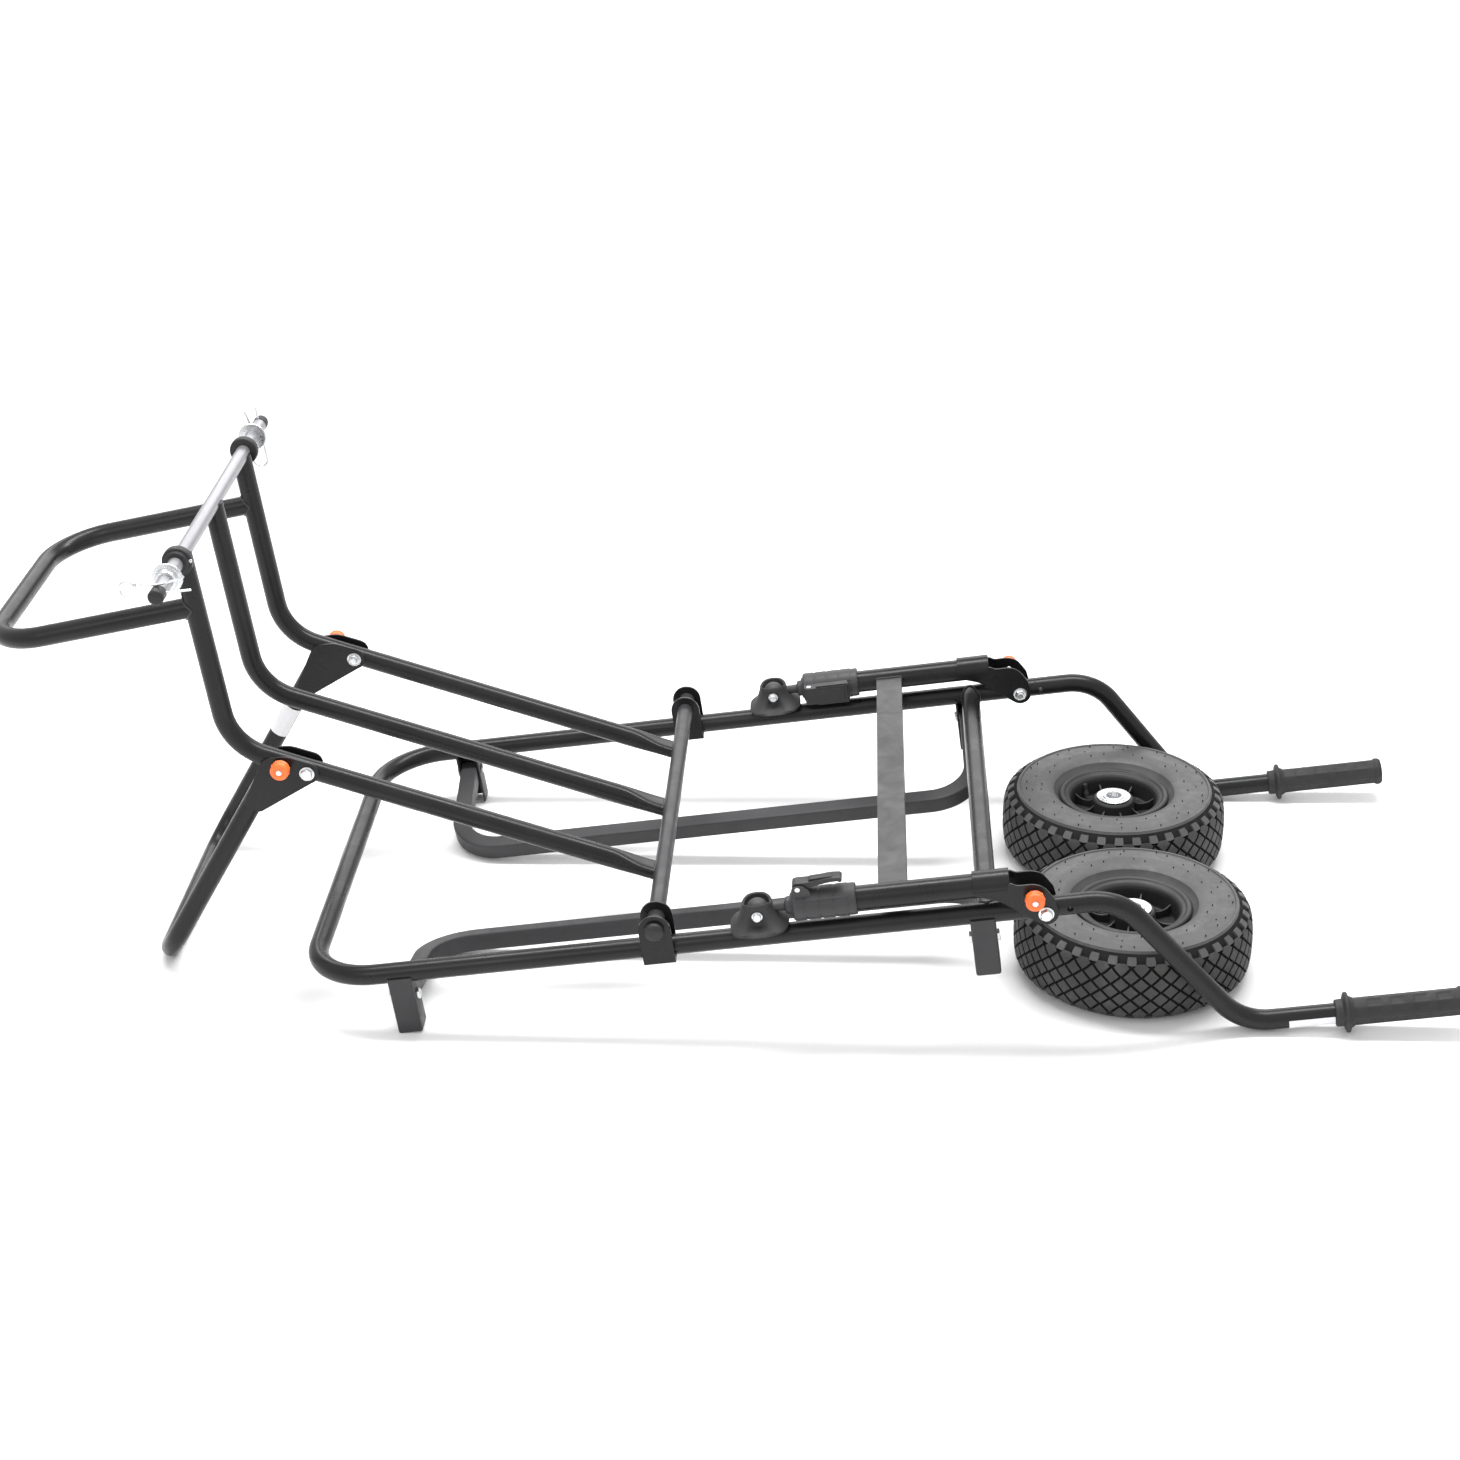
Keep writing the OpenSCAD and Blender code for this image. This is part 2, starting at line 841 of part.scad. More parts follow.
module rail_pins_far() {
    color(zinc) cart() rail_pins();
}

// ---- wheels, lying flat on the floor ----
module at_wheel(x, y) {
    floor_set() translate([x, y, tyre_w / 2 + 0.05]) children();
}

module tyre() {
    h = tyre_w / 2;
    r = tyre_d / 2;
    rotate_extrude()
        polygon([
            [56, -24], [64, -29], [70, -37], [84, -h], [104, -h + 1], [118, -h + 6], [r - 3, -h + 16], [r, -20],
            [r, 20], [r - 3, h - 16], [118, h - 6], [104, h - 1], [84, h], [70, 37], [64, 29], [56, 24]
        ]);
}

module tyre_near() {
    color(rubber) at_wheel(near_wheel_at, near_wheel_y) tyre();
}

module tyre_far() {
    color(rubber) at_wheel(far_wheel_at, far_wheel_y) tyre();
}

module rim() {
    difference() {
        union() {
            rotate_extrude()
                polygon([
                    [16.1, -28], [22, -28], [22, -4], [50, -4], [50, -26], [60, -34], [62, -33], [63.5, -29.6],
                    [56, -24], [56, 24], [63.5, 29.6], [62, 33], [60, 34], [50, 26], [50, 4], [22, 4], [22, 28],
                    [16.1, 28]
                ]);
            for (a = [0 : 45 : 315])
                rotate([0, 0, a]) translate([20, -2, -20]) cube([32, 4, 40]);
        }
        cylinder(h = 100, r = 16.1, center = true);
    }
}

module rim_near() {
    color(plastic) at_wheel(near_wheel_at, near_wheel_y) rim();
}

module rim_far() {
    color(plastic) at_wheel(far_wheel_at, far_wheel_y) rim();
}

// Bearing pair with its spacer sleeve; the rim turns round it.
module hub() {
    difference() {
        union() {
            cylinder(h = 62, r = 16, center = true);
            for (s = [-1, 1])
                translate([0, 0, s * 29.8]) cylinder(h = 2.4, r = 20, center = true);
        }
        cylinder(h = 80, r = wheel_bore / 2, center = true);
    }
}

module hub_near() {
    color(zinc) at_wheel(near_wheel_at, near_wheel_y) hub();
}

module hub_far() {
    color(zinc) at_wheel(far_wheel_at, far_wheel_y) hub();
}

front_bar();
side_tube_near();
side_tube_far();
handle_tube_near();
handle_tube_far();
rear_cross_tube();
saddle_near();
saddle_far();
rail_posts();
grip_near();
grip_far();
pivot_tube();
pivot_caps();
j_tube_near();
j_tube_middle();
j_tube_far();
axle_rod();
axle_collars();
axle_end_caps();
front_loop();
axle_washer_near();
axle_washer_far();
hairpin_near();
hairpin_far();
prop_leg();
prop_bracket_near();
prop_bracket_far();
prop_fixings();
prop_knob_near();
prop_knob_far();
rear_tube_near();
rear_tube_far();
flat_bar();
rear_bracket_near();
rear_bracket_far();
rear_fixings();
rear_knob_near();
rear_knob_far();
clamp_near();
clamp_far();
cam_lever_near();
cam_lever_far();
inner_leg_near();
inner_leg_far();
foot_near();
foot_far();
foot_bolts_near();
foot_bolts_far();
rail_near();
rail_far();
rail_pins_near();
rail_pins_far();
tyre_near();
tyre_far();
rim_near();
rim_far();
hub_near();
hub_far();
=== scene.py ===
import math

import bmesh
import bpy
from mathutils import Matrix, Vector


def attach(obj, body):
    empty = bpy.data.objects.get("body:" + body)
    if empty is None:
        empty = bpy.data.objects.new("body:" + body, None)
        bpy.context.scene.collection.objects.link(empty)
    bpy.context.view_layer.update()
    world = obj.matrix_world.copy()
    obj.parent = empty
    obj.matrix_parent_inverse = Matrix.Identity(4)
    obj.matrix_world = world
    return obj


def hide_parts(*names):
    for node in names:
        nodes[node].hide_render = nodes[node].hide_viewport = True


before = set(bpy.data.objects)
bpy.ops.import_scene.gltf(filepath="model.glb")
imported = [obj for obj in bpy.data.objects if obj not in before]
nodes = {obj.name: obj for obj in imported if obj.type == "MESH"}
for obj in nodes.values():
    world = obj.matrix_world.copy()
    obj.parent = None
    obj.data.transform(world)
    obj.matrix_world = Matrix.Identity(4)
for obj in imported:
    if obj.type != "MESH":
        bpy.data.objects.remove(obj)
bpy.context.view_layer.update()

# ---- the cart's tilted frame, in millimetres: u along the side tubes, y across, w square to both ----
TILT = math.radians(6.8)
HALF, PIVOT_U, PIVOT_W = 261.5, 382.0, 28.0
J_HALF, STAND_U, AXLE_W, LOOP_W = 145.0, -56.0, 455.0, 396.0
RISE = math.radians(25)
J_DROP = 6.0
CLAMP_U, FOOT_U, POST = 527.0, 491.0, 13.25
WHEELS = (("near", 888.0, -129.5, 0.31), ("far", 888.0, 131.0, 0.05))
SHIFT = Matrix.Translation((-0.44228, 0, 0))
CART = SHIFT @ Matrix.Translation((0, 0, 0.05695)) @ Matrix.Rotation(-TILT, 4, "Y") @ Matrix.Scale(0.001, 4)
FLOOR = SHIFT @ Matrix.Scale(0.001, 4)
SIDES = (("near", -1), ("far", 1))
REAR_U, LEG_W, POST_AT, POST_DOWN = 788.0, 33.0, (102.0, 722.0), 68.0
RAIL_LEG, RAIL_BEND, GRIP_U, GRIP_W = 157.0, 52.0, 1087.0, -165.0
ON_EDGE = Matrix(((1, 0, 0, 0), (0, 0, -1, 0), (0, 1, 0, 0), (0, 0, 0, 1)))


# ---- materials ----
def material(name, base, rough, metal=0.0, spec=0.5, second=None, mottle=6.0, rough_span=0.08, grain=900.0,
             grain_depth=0.00008, stretch=(1, 1, 1), coat=0.0, dust=None):
    m = bpy.data.materials.new(name)
    m.use_nodes = True
    t = m.node_tree
    b = t.nodes["Principled BSDF"]
    b.inputs["Metallic"].default_value = metal
    b.inputs["Specular IOR Level"].default_value = spec
    b.inputs["Coat Weight"].default_value = coat
    b.inputs["Coat Roughness"].default_value = 0.25
    at = t.nodes.new("ShaderNodeTexCoord")
    place = t.nodes.new("ShaderNodeMapping")
    place.inputs["Scale"].default_value = stretch
    t.links.new(at.outputs["Object"], place.inputs["Vector"])

    def noise(scale, detail, distortion=0.0):
        n = t.nodes.new("ShaderNodeTexNoise")
        n.inputs["Scale"].default_value = scale
        n.inputs["Detail"].default_value = detail
        n.inputs["Distortion"].default_value = distortion
        t.links.new(place.outputs["Vector"], n.inputs["Vector"])
        return n

    def mix(factor, a, c):
        n = t.nodes.new("ShaderNodeMix")
        n.data_type = "RGBA"
        t.links.new(factor, n.inputs["Factor"])
        for socket, value in (("A", a), ("B", c)):
            s = [i for i in n.inputs if i.name == socket and i.type == "RGBA"][0]
            if isinstance(value, tuple):
                s.default_value = (*value, 1)
            else:
                t.links.new(value, s)
        return [o for o in n.outputs if o.type == "RGBA"][0]

    def ramp(value, low, high):
        n = t.nodes.new("ShaderNodeMapRange")
        n.inputs["From Min"].default_value = low
        n.inputs["From Max"].default_value = high
        t.links.new(value, n.inputs["Value"])
        return n.outputs["Result"]

    second = second or tuple(c * 1.35 + 0.004 for c in base)
    colour = mix(ramp(noise(mottle, 5, 0.4).outputs["Fac"], 0.35, 0.68), base, second)
    speck = noise(grain * 0.45, 3)
    colour = mix(ramp(speck.outputs["Fac"], 0.62, 0.8), colour, tuple(min(1, c * 1.5 + 0.006) for c in base))
    if dust:
        colour = mix(ramp(noise(28, 8, 1.2).outputs["Fac"], 0.52, 0.78), colour, dust)
    t.links.new(colour, b.inputs["Base Color"])
    r = t.nodes.new("ShaderNodeMapRange")
    r.inputs["To Min"].default_value = rough - rough_span
    r.inputs["To Max"].default_value = rough + rough_span
    r.inputs["From Min"].default_value = 0.3
    r.inputs["From Max"].default_value = 0.7
    t.links.new(noise(mottle * 7, 6, 0.8).outputs["Fac"], r.inputs["Value"])
    t.links.new(r.outputs["Result"], b.inputs["Roughness"])
    bump = t.nodes.new("ShaderNodeBump")
    bump.inputs["Strength"].default_value = 0.6
    bump.inputs["Distance"].default_value = grain_depth
    t.links.new(noise(grain, 4).outputs["Fac"], bump.inputs["Height"])
    t.links.new(bump.outputs["Normal"], b.inputs["Normal"])
    return m


PAINT = material("powder_coat_black", (0.0065, 0.0065, 0.007), 0.30, spec=0.28, rough_span=0.05)
# lighter grey than the frame paint: painted reflection of the overhead light and backdrop, used on the pivot
# tube, flat bar and weld beads
PAINT_GREY = material("powder_coat_painted_reflection", (0.020, 0.020, 0.022), 0.42, spec=0.4, second=(0.034, 0.034, 0.036))
# rails and posts: dark grey, partly their own coat and partly painted reflection on their flat faces
RAIL = material("rail_coat", (0.030, 0.030, 0.032), 0.5, spec=0.3, second=(0.040, 0.040, 0.042))
STEEL = material("axle_bright_steel", (0.30, 0.30, 0.315), 0.42, metal=0.75, second=(0.36, 0.36, 0.375),
                 mottle=14, stretch=(1, 0.06, 1), grain=1400, grain_depth=0.00003)
ZINC = material("zinc_plate", (0.62, 0.63, 0.64), 0.27, metal=0.95, second=(0.74, 0.75, 0.76), mottle=60,
                grain=2200, grain_depth=0.00003)
BLACK = material("moulded_black", (0.014, 0.014, 0.015), 0.5, spec=0.4, grain=2600, grain_depth=0.00006)
CLAMP = material("glass_filled_plastic", (0.028, 0.028, 0.030), 0.52, spec=0.4, second=(0.038, 0.038, 0.040),
                 grain=2200, grain_depth=0.0001)
ORANGE = material("orange_moulding", (0.86, 0.14, 0.022), 0.38, spec=0.5, second=(0.93, 0.18, 0.03),
                  mottle=40,
                  grain=1800, grain_depth=0.00004)
RUBBER = material("black_rubber", (0.020, 0.020, 0.021), 0.62, spec=0.35, second=(0.030, 0.030, 0.031),
                  grain=2000, grain_depth=0.00012)
# tread tops: lighter than the groove rubber, partly dust and partly painted sheen on the block tops; the
# noise patches are dust
TREAD = material("tyre_tread_top", (0.038, 0.038, 0.038), 0.72, spec=0.3, second=(0.056, 0.056, 0.055),
                 mottle=22,
                 grain=1500, grain_depth=0.00015, dust=(0.075, 0.075, 0.073))
# groove rubber: a near-black copy of the tread rubber, painted shade in the grooves and on the block sides
GROOVE_SHADE = material("tyre_groove_painted_shade", (0.008, 0.008, 0.008), 0.85, spec=0.15, grain=1500, grain_depth=0.0001)
SIDEWALL = material("tyre_sidewall", (0.052, 0.052, 0.054), 0.5, spec=0.45, second=(0.070, 0.070, 0.072),
                    mottle=16,
                    grain=1600, grain_depth=0.00012, dust=(0.085, 0.085, 0.086))
LABEL = material("blank_label", (0.74, 0.73, 0.75), 0.55, spec=0.4, second=(0.79, 0.78, 0.80), mottle=90,
                 grain=2500, grain_depth=0.00002)


# ---- shapes ----
def place(at, z=(0, 0, 1), x=(1, 0, 0)):
    """A frame at a point; x is a direction to lean towards, and must not run along z."""
    z = Vector(z).normalized()
    if abs(z.dot(Vector(x).normalized())) > 0.999:
        x = (0, 0, 1)
    y = z.cross(Vector(x)).normalized()
    x = y.cross(z)
    m = Matrix((x, y, z)).transposed().to_4x4()
    m.translation = Vector(at)
    return m


class Shape:
    """Collects parts of one piece, in millimetres, and makes its mesh."""

    def __init__(self):
        self.v, self.f, self.m = [], [], []

    def add(self, part, m=0, at=None):
        verts, faces = part
        n = len(self.v)
        self.v += [at @ Vector(p) if at is not None else Vector(p) for p in verts]
        self.f += [[n + i for i in f] for f in faces]
        self.m += m if isinstance(m, list) else [m] * len(faces)
        return self

    def make(self, name, body, mats, slot, base=CART, bevel=0.0, angle=35, stands_for=()):
        me = bpy.data.meshes.new(name)
        me.from_pydata([base @ p for p in self.v], [], self.f)
        for m in mats:
            me.materials.append(m)
        me.polygons.foreach_set("material_index", self.m)
        bm = bmesh.new()
        bm.from_mesh(me)
        bmesh.ops.remove_doubles(bm, verts=bm.verts, dist=2e-6)
        bmesh.ops.recalc_face_normals(bm, faces=bm.faces)
        bm.to_mesh(me)
        bm.free()
        me.polygons.foreach_set("use_smooth", [True] * len(me.polygons))
        me.set_sharp_from_angle(angle=math.radians(angle))
        o = bpy.data.objects.new(name, me)
        bpy.context.scene.collection.objects.link(o)
        if bevel:
            b = o.modifiers.new("edges", "BEVEL")
            b.width, b.segments, b.limit_method, b.angle_limit = bevel / 1000, 2, "ANGLE", math.radians(angle)
            b.harden_normals = True
        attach(o, body)
        if stands_for:
            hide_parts(*stands_for)
        return o


def lathe(profile, n=64, closed=False):
    """A profile of (radius, height) turned about z."""
    verts, faces, k = [], [], len(profile)
    for r, z in profile:
        verts += [(r * math.cos(2 * math.pi * i / n), r * math.sin(2 * math.pi * i / n), z) for i in range(n)]
    for j in range(k if closed else k - 1):
        a, b = j * n, ((j + 1) % k) * n
        faces += [[a + i, a + (i + 1) % n, b + (i + 1) % n, b + i] for i in range(n)]
    return verts, faces


def bands(n, count):
    """The faces between rows of n points, where each row closes into a ring."""
    return [[k * n + i, k * n + (i + 1) % n, (k + 1) * n + (i + 1) % n, (k + 1) * n + i]
            for k in range(count) for i in range(n)]


def solid(profile, n=64):
    """A turned solid closed by its two ends."""
    verts, faces = lathe(profile, n)
    k = len(profile)
    return verts, faces + [list(range(n))[::-1], list(range((k - 1) * n, k * n))]


def rounded(profile, r, steps=4):
    """Rounds the inner corners of an open profile."""
    out = [profile[0]]
    for a, b, c in zip(profile, profile[1:], profile[2:]):
        pa, pb, pc = Vector(a), Vector(b), Vector(c)
        d = min(r, (pa - pb).length * 0.45, (pc - pb).length * 0.45)
        s, e = pb + (pa - pb).normalized() * d, pb + (pc - pb).normalized() * d
        for i in range(steps + 1):
            t = i / steps
            out.append(tuple((s * (1 - t) + pb * t) * (1 - t) + (pb * (1 - t) + e * t) * t))
    out.append(profile[-1])
    return out


def rounded_loop(points, r, steps=4):
    """Rounds the corners of a closed outline, by one radius or one for each corner."""
    out, n = [], len(points)
    for i in range(n):
        radius = r[i] if isinstance(r, (list, tuple)) else r
        pa, pb, pc = Vector(points[i - 1]), Vector(points[i]), Vector(points[(i + 1) % n])
        d = min(radius, (pa - pb).length * 0.48, (pc - pb).length * 0.48)
        if d < 0.05:
            out.append(tuple(pb))
            continue
        s, e = pb + (pa - pb).normalized() * d, pb + (pc - pb).normalized() * d
        for k in range(steps + 1):
            t = k / steps
            out.append(tuple((s * (1 - t) + pb * t) * (1 - t) + (pb * (1 - t) + e * t) * t))
    return out


def plate(outline, thickness, z=0.0):
    """A flat outline given a thickness, centred on z."""
    n, h = len(outline), thickness / 2
    verts = [(x, y, z - h) for x, y in outline] + [(x, y, z + h) for x, y in outline]
    faces = [list(range(n))[::-1], list(range(n, 2 * n))]
    return verts, faces + [[i, (i + 1) % n, n + (i + 1) % n, n + i] for i in range(n)]


def circle(r, n=40, start=0.0):
    return [(r * math.cos(start + 2 * math.pi * i / n), r * math.sin(start + 2 * math.pi * i / n))
            for i in range(n)]


def box(lo, hi):
    """A block between two corners, used as a rib or pad on a larger piece."""
    x, y, z = zip(lo, hi)
    verts = [(a, b, c) for a in x for b in y for c in z]
    return verts, [[0, 1, 3, 2], [4, 6, 7, 5], [0, 4, 5, 1], [2, 3, 7, 6], [0, 2, 6, 4], [1, 5, 7, 3]]


def bent(points, r, steps=12):
    """A path through points with round bends."""
    p = [Vector(q) for q in points]
    out = [p[0]]
    for i in range(1, len(p) - 1):
        a, b = (p[i - 1] - p[i]).normalized(), (p[i + 1] - p[i]).normalized()
        turn = math.pi - a.angle(b)
        cut = r * math.tan(turn / 2)
        centre = p[i] + (a + b).normalized() * (r / math.cos(turn / 2))
        s, e = p[i] + a * cut - centre, p[i] + b * cut - centre
        for k in range(steps + 1):
            t = k / steps
            w1, w2 = math.sin((1 - t) * turn) / math.sin(turn), math.sin(t * turn) / math.sin(turn)
            out.append(centre + s * w1 + e * w2)
    out.append(p[-1])
    return out


def dense(path, step):
    """The path with extra points, none further apart than about one step."""
    out = [path[0]]
    for a, b in zip(path, path[1:]):
        n = max(1, int((b - a).length / step))
        out += [a.lerp(b, (i + 1) / n) for i in range(n)]
    return out


def sweep(path, section, up, closed=False):
    """A section carried along a path; section may be a function of how far along it is, from 0 to 1."""
    path = [Vector(q) for q in path]
    n, up = len(path), Vector(up)
    length = [0.0]
    for a, b in zip(path, path[1:]):
        length.append(length[-1] + (b - a).length)
    verts, k = [], 0
    for i, q in enumerate(path):
        if closed:
            t = (path[(i + 1) % n] - path[i - 1]).normalized()
        else:
            t = (path[min(i + 1, n - 1)] - path[max(i - 1, 0)]).normalized()
        up = (up - t * up.dot(t)).normalized()
        side = t.cross(up)
        s = section(length[i] / length[-1]) if callable(section) else section
        k = len(s)
        verts += [q + up * a + side * b for a, b in s]
    faces = []
    for i in range(n if closed else n - 1):
        a, b = i * k, ((i + 1) % n) * k
        faces += [[a + j, a + (j + 1) % k, b + (j + 1) % k, b + j] for j in range(k)]
    if not closed:
        faces += [list(range(k))[::-1], list(range((n - 1) * k, n * k))]
    return verts, faces


def bead(points, r=1.7, closed=True, pitch=2.6):
    """A weld bead along a line, with the ripples of its pools."""
    path = dense([Vector(q) for q in points] + ([Vector(points[0])] if closed else []), 1.1)
    if closed:
        path = path[:-1]
    total = sum((b - a).length for a, b in zip(path, path[1:]))
    normal = (path[len(path) // 3] - path[0]).cross(path[2 * len(path) // 3] - path[0])
    if normal.length < 1e-3:
        normal = Vector((0.3, 0.2, 1)).cross(path[-1] - path[0])

    def section(t):
        return circle(r * (1 + 0.13 * math.sin(2 * math.pi * t * total / pitch)), 8)

    return sweep(path, section, normal, closed)


def saddle_line(at, main, branch, big, small, n=40):
    """Where a branch tube of radius small meets a main tube of radius big."""
    a, b = Vector(main).normalized(), Vector(branch).normalized()
    c, out = a.cross(b), []
    for i in range(n):
        f = 2 * math.pi * i / n
        s = small * math.sin(f)
        out.append(Vector(at) + a * small * math.cos(f) + c * s + b * math.sqrt(max(0.0, big * big - s * s)))
    return out


def hex_head(flats, height):
    """A hexagon head with its rounded-off corners, standing on z = 0."""
    corner = flats / math.sqrt(3)
    ring = []
    for i in range(12):
        a = math.pi * i / 6
        ring.append((corner if i % 2 == 0 else flats / 2, a))
    rows = [[(r * math.cos(a), r * math.sin(a), z) for r, a in ring] for z in (0.0, height * 0.72)]
    rows.append([(flats / 2 * 0.93 * math.cos(a), flats / 2 * 0.93 * math.sin(a), height) for _, a in ring])
    rows.append([(flats / 2 * 0.62 * math.cos(a), flats / 2 * 0.62 * math.sin(a), height - 0.35) for _,
                 a in ring])
    verts = [v for row in rows for v in row]
    faces = bands(12, 3)
    return verts, faces + [list(range(12))[::-1], list(range(36, 48))]


def washer(r, hole, t):
    return solid(rounded([(0.01, 0), (r, 0), (r, t), (0.01, t)], 0.4, 2), 48)


# ---- wheels ----
def tyre_section(s, lift=0.0):
    """The tyre's outline by distance s from the middle of the tread: (radius, height), raised by lift."""
    flat, bend = 22.0, 15.0
    side = 1 if s >= 0 else -1
    d = abs(s)
    if d <= flat:
        r, z, a = 126.6 - 1.3 * (d / flat) ** 2, d, 0.10 * d / flat
    else:
        a = min((d - flat) / bend, 1.15)
        r = 125.3 - bend * (1 - math.cos(a)) - 1.4 * math.sin(a)
        z = flat + bend * math.sin(a)
        a += 0.10
    return r + lift * math.cos(a), side * (z + lift * math.sin(a))


def on_tyre(theta, s, lift):
    """The point on the tyre at an angle and a distance across, raised by lift."""
    r, z = tyre_section(s, lift)
    return r * math.cos(theta), r * math.sin(theta), z


def tyre(name, x, y, turn):
    """The tyre: its casing, diamond blocks, shoulder lugs and moulding vents."""
    h, around, half_u, half_s, row_pitch, edge_s = 42.5, 38, 0.42, 8.3, 9.0, 31.0
    shape = Shape()
    # casing, with the bead seat left open to the rim
    outline = [(57, 23.5), (60.5, 26.5), (65.5, 30.0), (68.6, 34.0), (70.4, 37.4), (74, 39.6), (80, 41.1),
               (88, h - 0.4),
               (90, h), (92, h - 0.35), (99, h - 0.6), (106, h - 1.4), (109.2, h - 2.0), (110.2, h - 0.7),
               (112.4, h - 1.0),
               (113.8, h - 3.9), (116.8, h - 6.4)]
    crown = [tyre_section(s) for s in (35, 29, 22, 15, 7, 0, -7, -15, -22, -29, -35)]
    profile = outline + crown + [(r, -z) for r, z in outline[::-1]]
    verts, faces = lathe(profile, 152)
    sections = len(profile) - 1
    # the casing across the tread takes the groove colour, painted shade between the blocks; the rest takes
    # the sidewall colour
    marks = []
    for j in range(sections):
        marks += [1 if len(outline) - 2 <= j <= len(outline) + 11 else 2] * 152
    shape.add((verts, faces), marks)
    # the bead seat band also takes the painted-shade groove colour
    shape.add(lathe([(57, 23.5), (56, 0), (57, -23.5)], 96), 1)
    # diamond blocks
    pitch = 2 * math.pi / around
    rows = range(-3, 4)
    for j in rows:
        centre_s = j * row_pitch
        for i in range(around):
            centre = (i + (j % 2) / 2) * pitch
            corners = [(-half_u, 0), (0, -half_s), (half_u, 0), (0, half_s)]
            grid, n = [], 4
            for lift, scale in ((0.2, 1.0), (2.9, 0.93), (3.2, 0.86)):
                ring = []
                for c in range(4):
                    a, b = corners[c], corners[(c + 1) % 4]
                    for k in range(n):
                        t = k / n
                        ring.append(((a[0] * (1 - t) + b[0] * t) * scale,
                                     (a[1] * (1 - t) + b[1] * t) * scale))
                grid.append([on_tyre(centre + p[0] * pitch, max(-edge_s, min(edge_s, centre_s + p[1])),
                                     lift) for p in ring])
            verts = [v for ring in grid for v in ring]
            m = 4 * n
            verts.append(on_tyre(centre, max(-edge_s, min(edge_s, centre_s)), 3.3))
            faces = bands(m, 2)
            faces += [[2 * m + k, 2 * m + (k + 1) % m, 3 * m] for k in range(m)]
            # block sides take the groove colour, painted shade; block tops take the tread colour
            shape.add((verts, faces), [1] * m + [0] * (2 * m))
    # shoulder lugs
    for side in (-1, 1):
        for i in range(around):
            centre = (i + (0.5 if side > 0 else 0.0) + 0.5) * pitch
            rows3 = []
            for up, scale in ((-0.6, 1.0), (2.3, 0.94), (2.8, 0.84)):
                ring = []
                for a, b in ((-1, -1), (0, -1), (1, -1), (1, 0), (0.9, 1), (0, 1), (-0.9, 1), (-1, 0)):
                    ring.append(on_tyre(centre + a * 0.27 * scale * pitch,
                                        side * (33.5 + b * 4.4 * scale), up))
                rows3.append(ring)
            verts = [v for ring in rows3 for v in ring]
            shape.add((verts, bands(8, 2) + [list(range(16, 24))]), [2] * 17)
    # moulding vents left on the sidewall
    for side in (-1, 1):
        for ring_r, count, phase in ((104.0, 26, 0.1), (84.0, 22, 0.35), (94.5, 9, 0.8)):
            for i in range(count):
                a = 2 * math.pi * (i + phase + 0.24 * math.sin(i * 2.7)) / count
                rr = ring_r + 2.2 * math.sin(i * 1.9)
                at = place((rr * math.cos(a), rr * math.sin(a), side * (h - 1.7)), (0, 0, side),
                           (math.cos(a), math.sin(a), 0))
                # the vents take the same near-black groove colour, painted shade
                shape.add(solid([(0.8, -1), (0.7, 1.9), (0.4, 2.2)], 6), 1, at)
    spin = FLOOR @ Matrix.Translation((x, y, h + 0.05)) @ Matrix.Rotation(turn, 4, "Z")
    return shape.make("tyre_" + name + "_rubber", "wheel_turn_" + name, [TREAD, GROOVE_SHADE, SIDEWALL], "tyre",
                      base=spin,
                      angle=28, stands_for=["tyre_" + name])


def rim(name, x, y, turn):
    shape = Shape()
    profile = [(22.5, 27.0), (24.0, 25.5), (25.0, 8.0), (27, 6.0), (47.5, 6.0), (49.0, 8.0), (49.4, 24.0),
               (50.6, 28.0),
               (53.2, 30.6), (56.5, 31.6), (58.0, 33.3), (60.6, 34.0), (62.9, 33.2), (64.0, 31.2),
               (62.2, 29.0), (57.5, 25.0)]
    full = rounded(profile, 1.2, 3)
    shape.add(lathe([(16.3, 27.6), (22.0, 27.6)] + full + [(57.2, 0)] + [(r, -z) for r, z in full[::-1]]
                    + [(22.0, -27.6), (16.3, -27.6)], 128))
    for k in range(8):
        a = math.pi / 4 * k + 0.2
        for side in (-1, 1):
            spoke = [(23.0, 5.0), (50.0, 5.0), (50.0, 19.5), (44.0, 15.5), (36.0, 14.2), (29.0, 15.5),
                     (23.0, 20.5)]
            at = Matrix.Rotation(a, 4, "Z") @ Matrix.Rotation(math.pi / 2, 4, "X")
            if side < 0:
                at = Matrix.Rotation(math.pi, 4, "X") @ at
            shape.add(plate(rounded_loop(spoke, [0, 0, 0, 4, 8, 4, 0]), 2.2), 0, at)
    # valve stem through the outer wall
    shape.add(solid([(3.2, 0), (3.2, 5), (2.4, 6.5), (2.2, 11), (2.9, 11.2), (2.9, 15), (2.2, 15.8),
                     (0.4, 16)], 20), 1,
              Matrix.Rotation(2.2, 4, "Z") @ place((45.5, 0, 10.0), (0.25, 0, 1)))
    spin = FLOOR @ Matrix.Translation((x, y, 42.55)) @ Matrix.Rotation(turn, 4, "Z")
    return shape.make("rim_" + name + "_moulding", "wheel_turn_" + name, [BLACK, RUBBER], "plastic",
                      base=spin, bevel=0.5,
                      angle=40, stands_for=["rim_" + name])


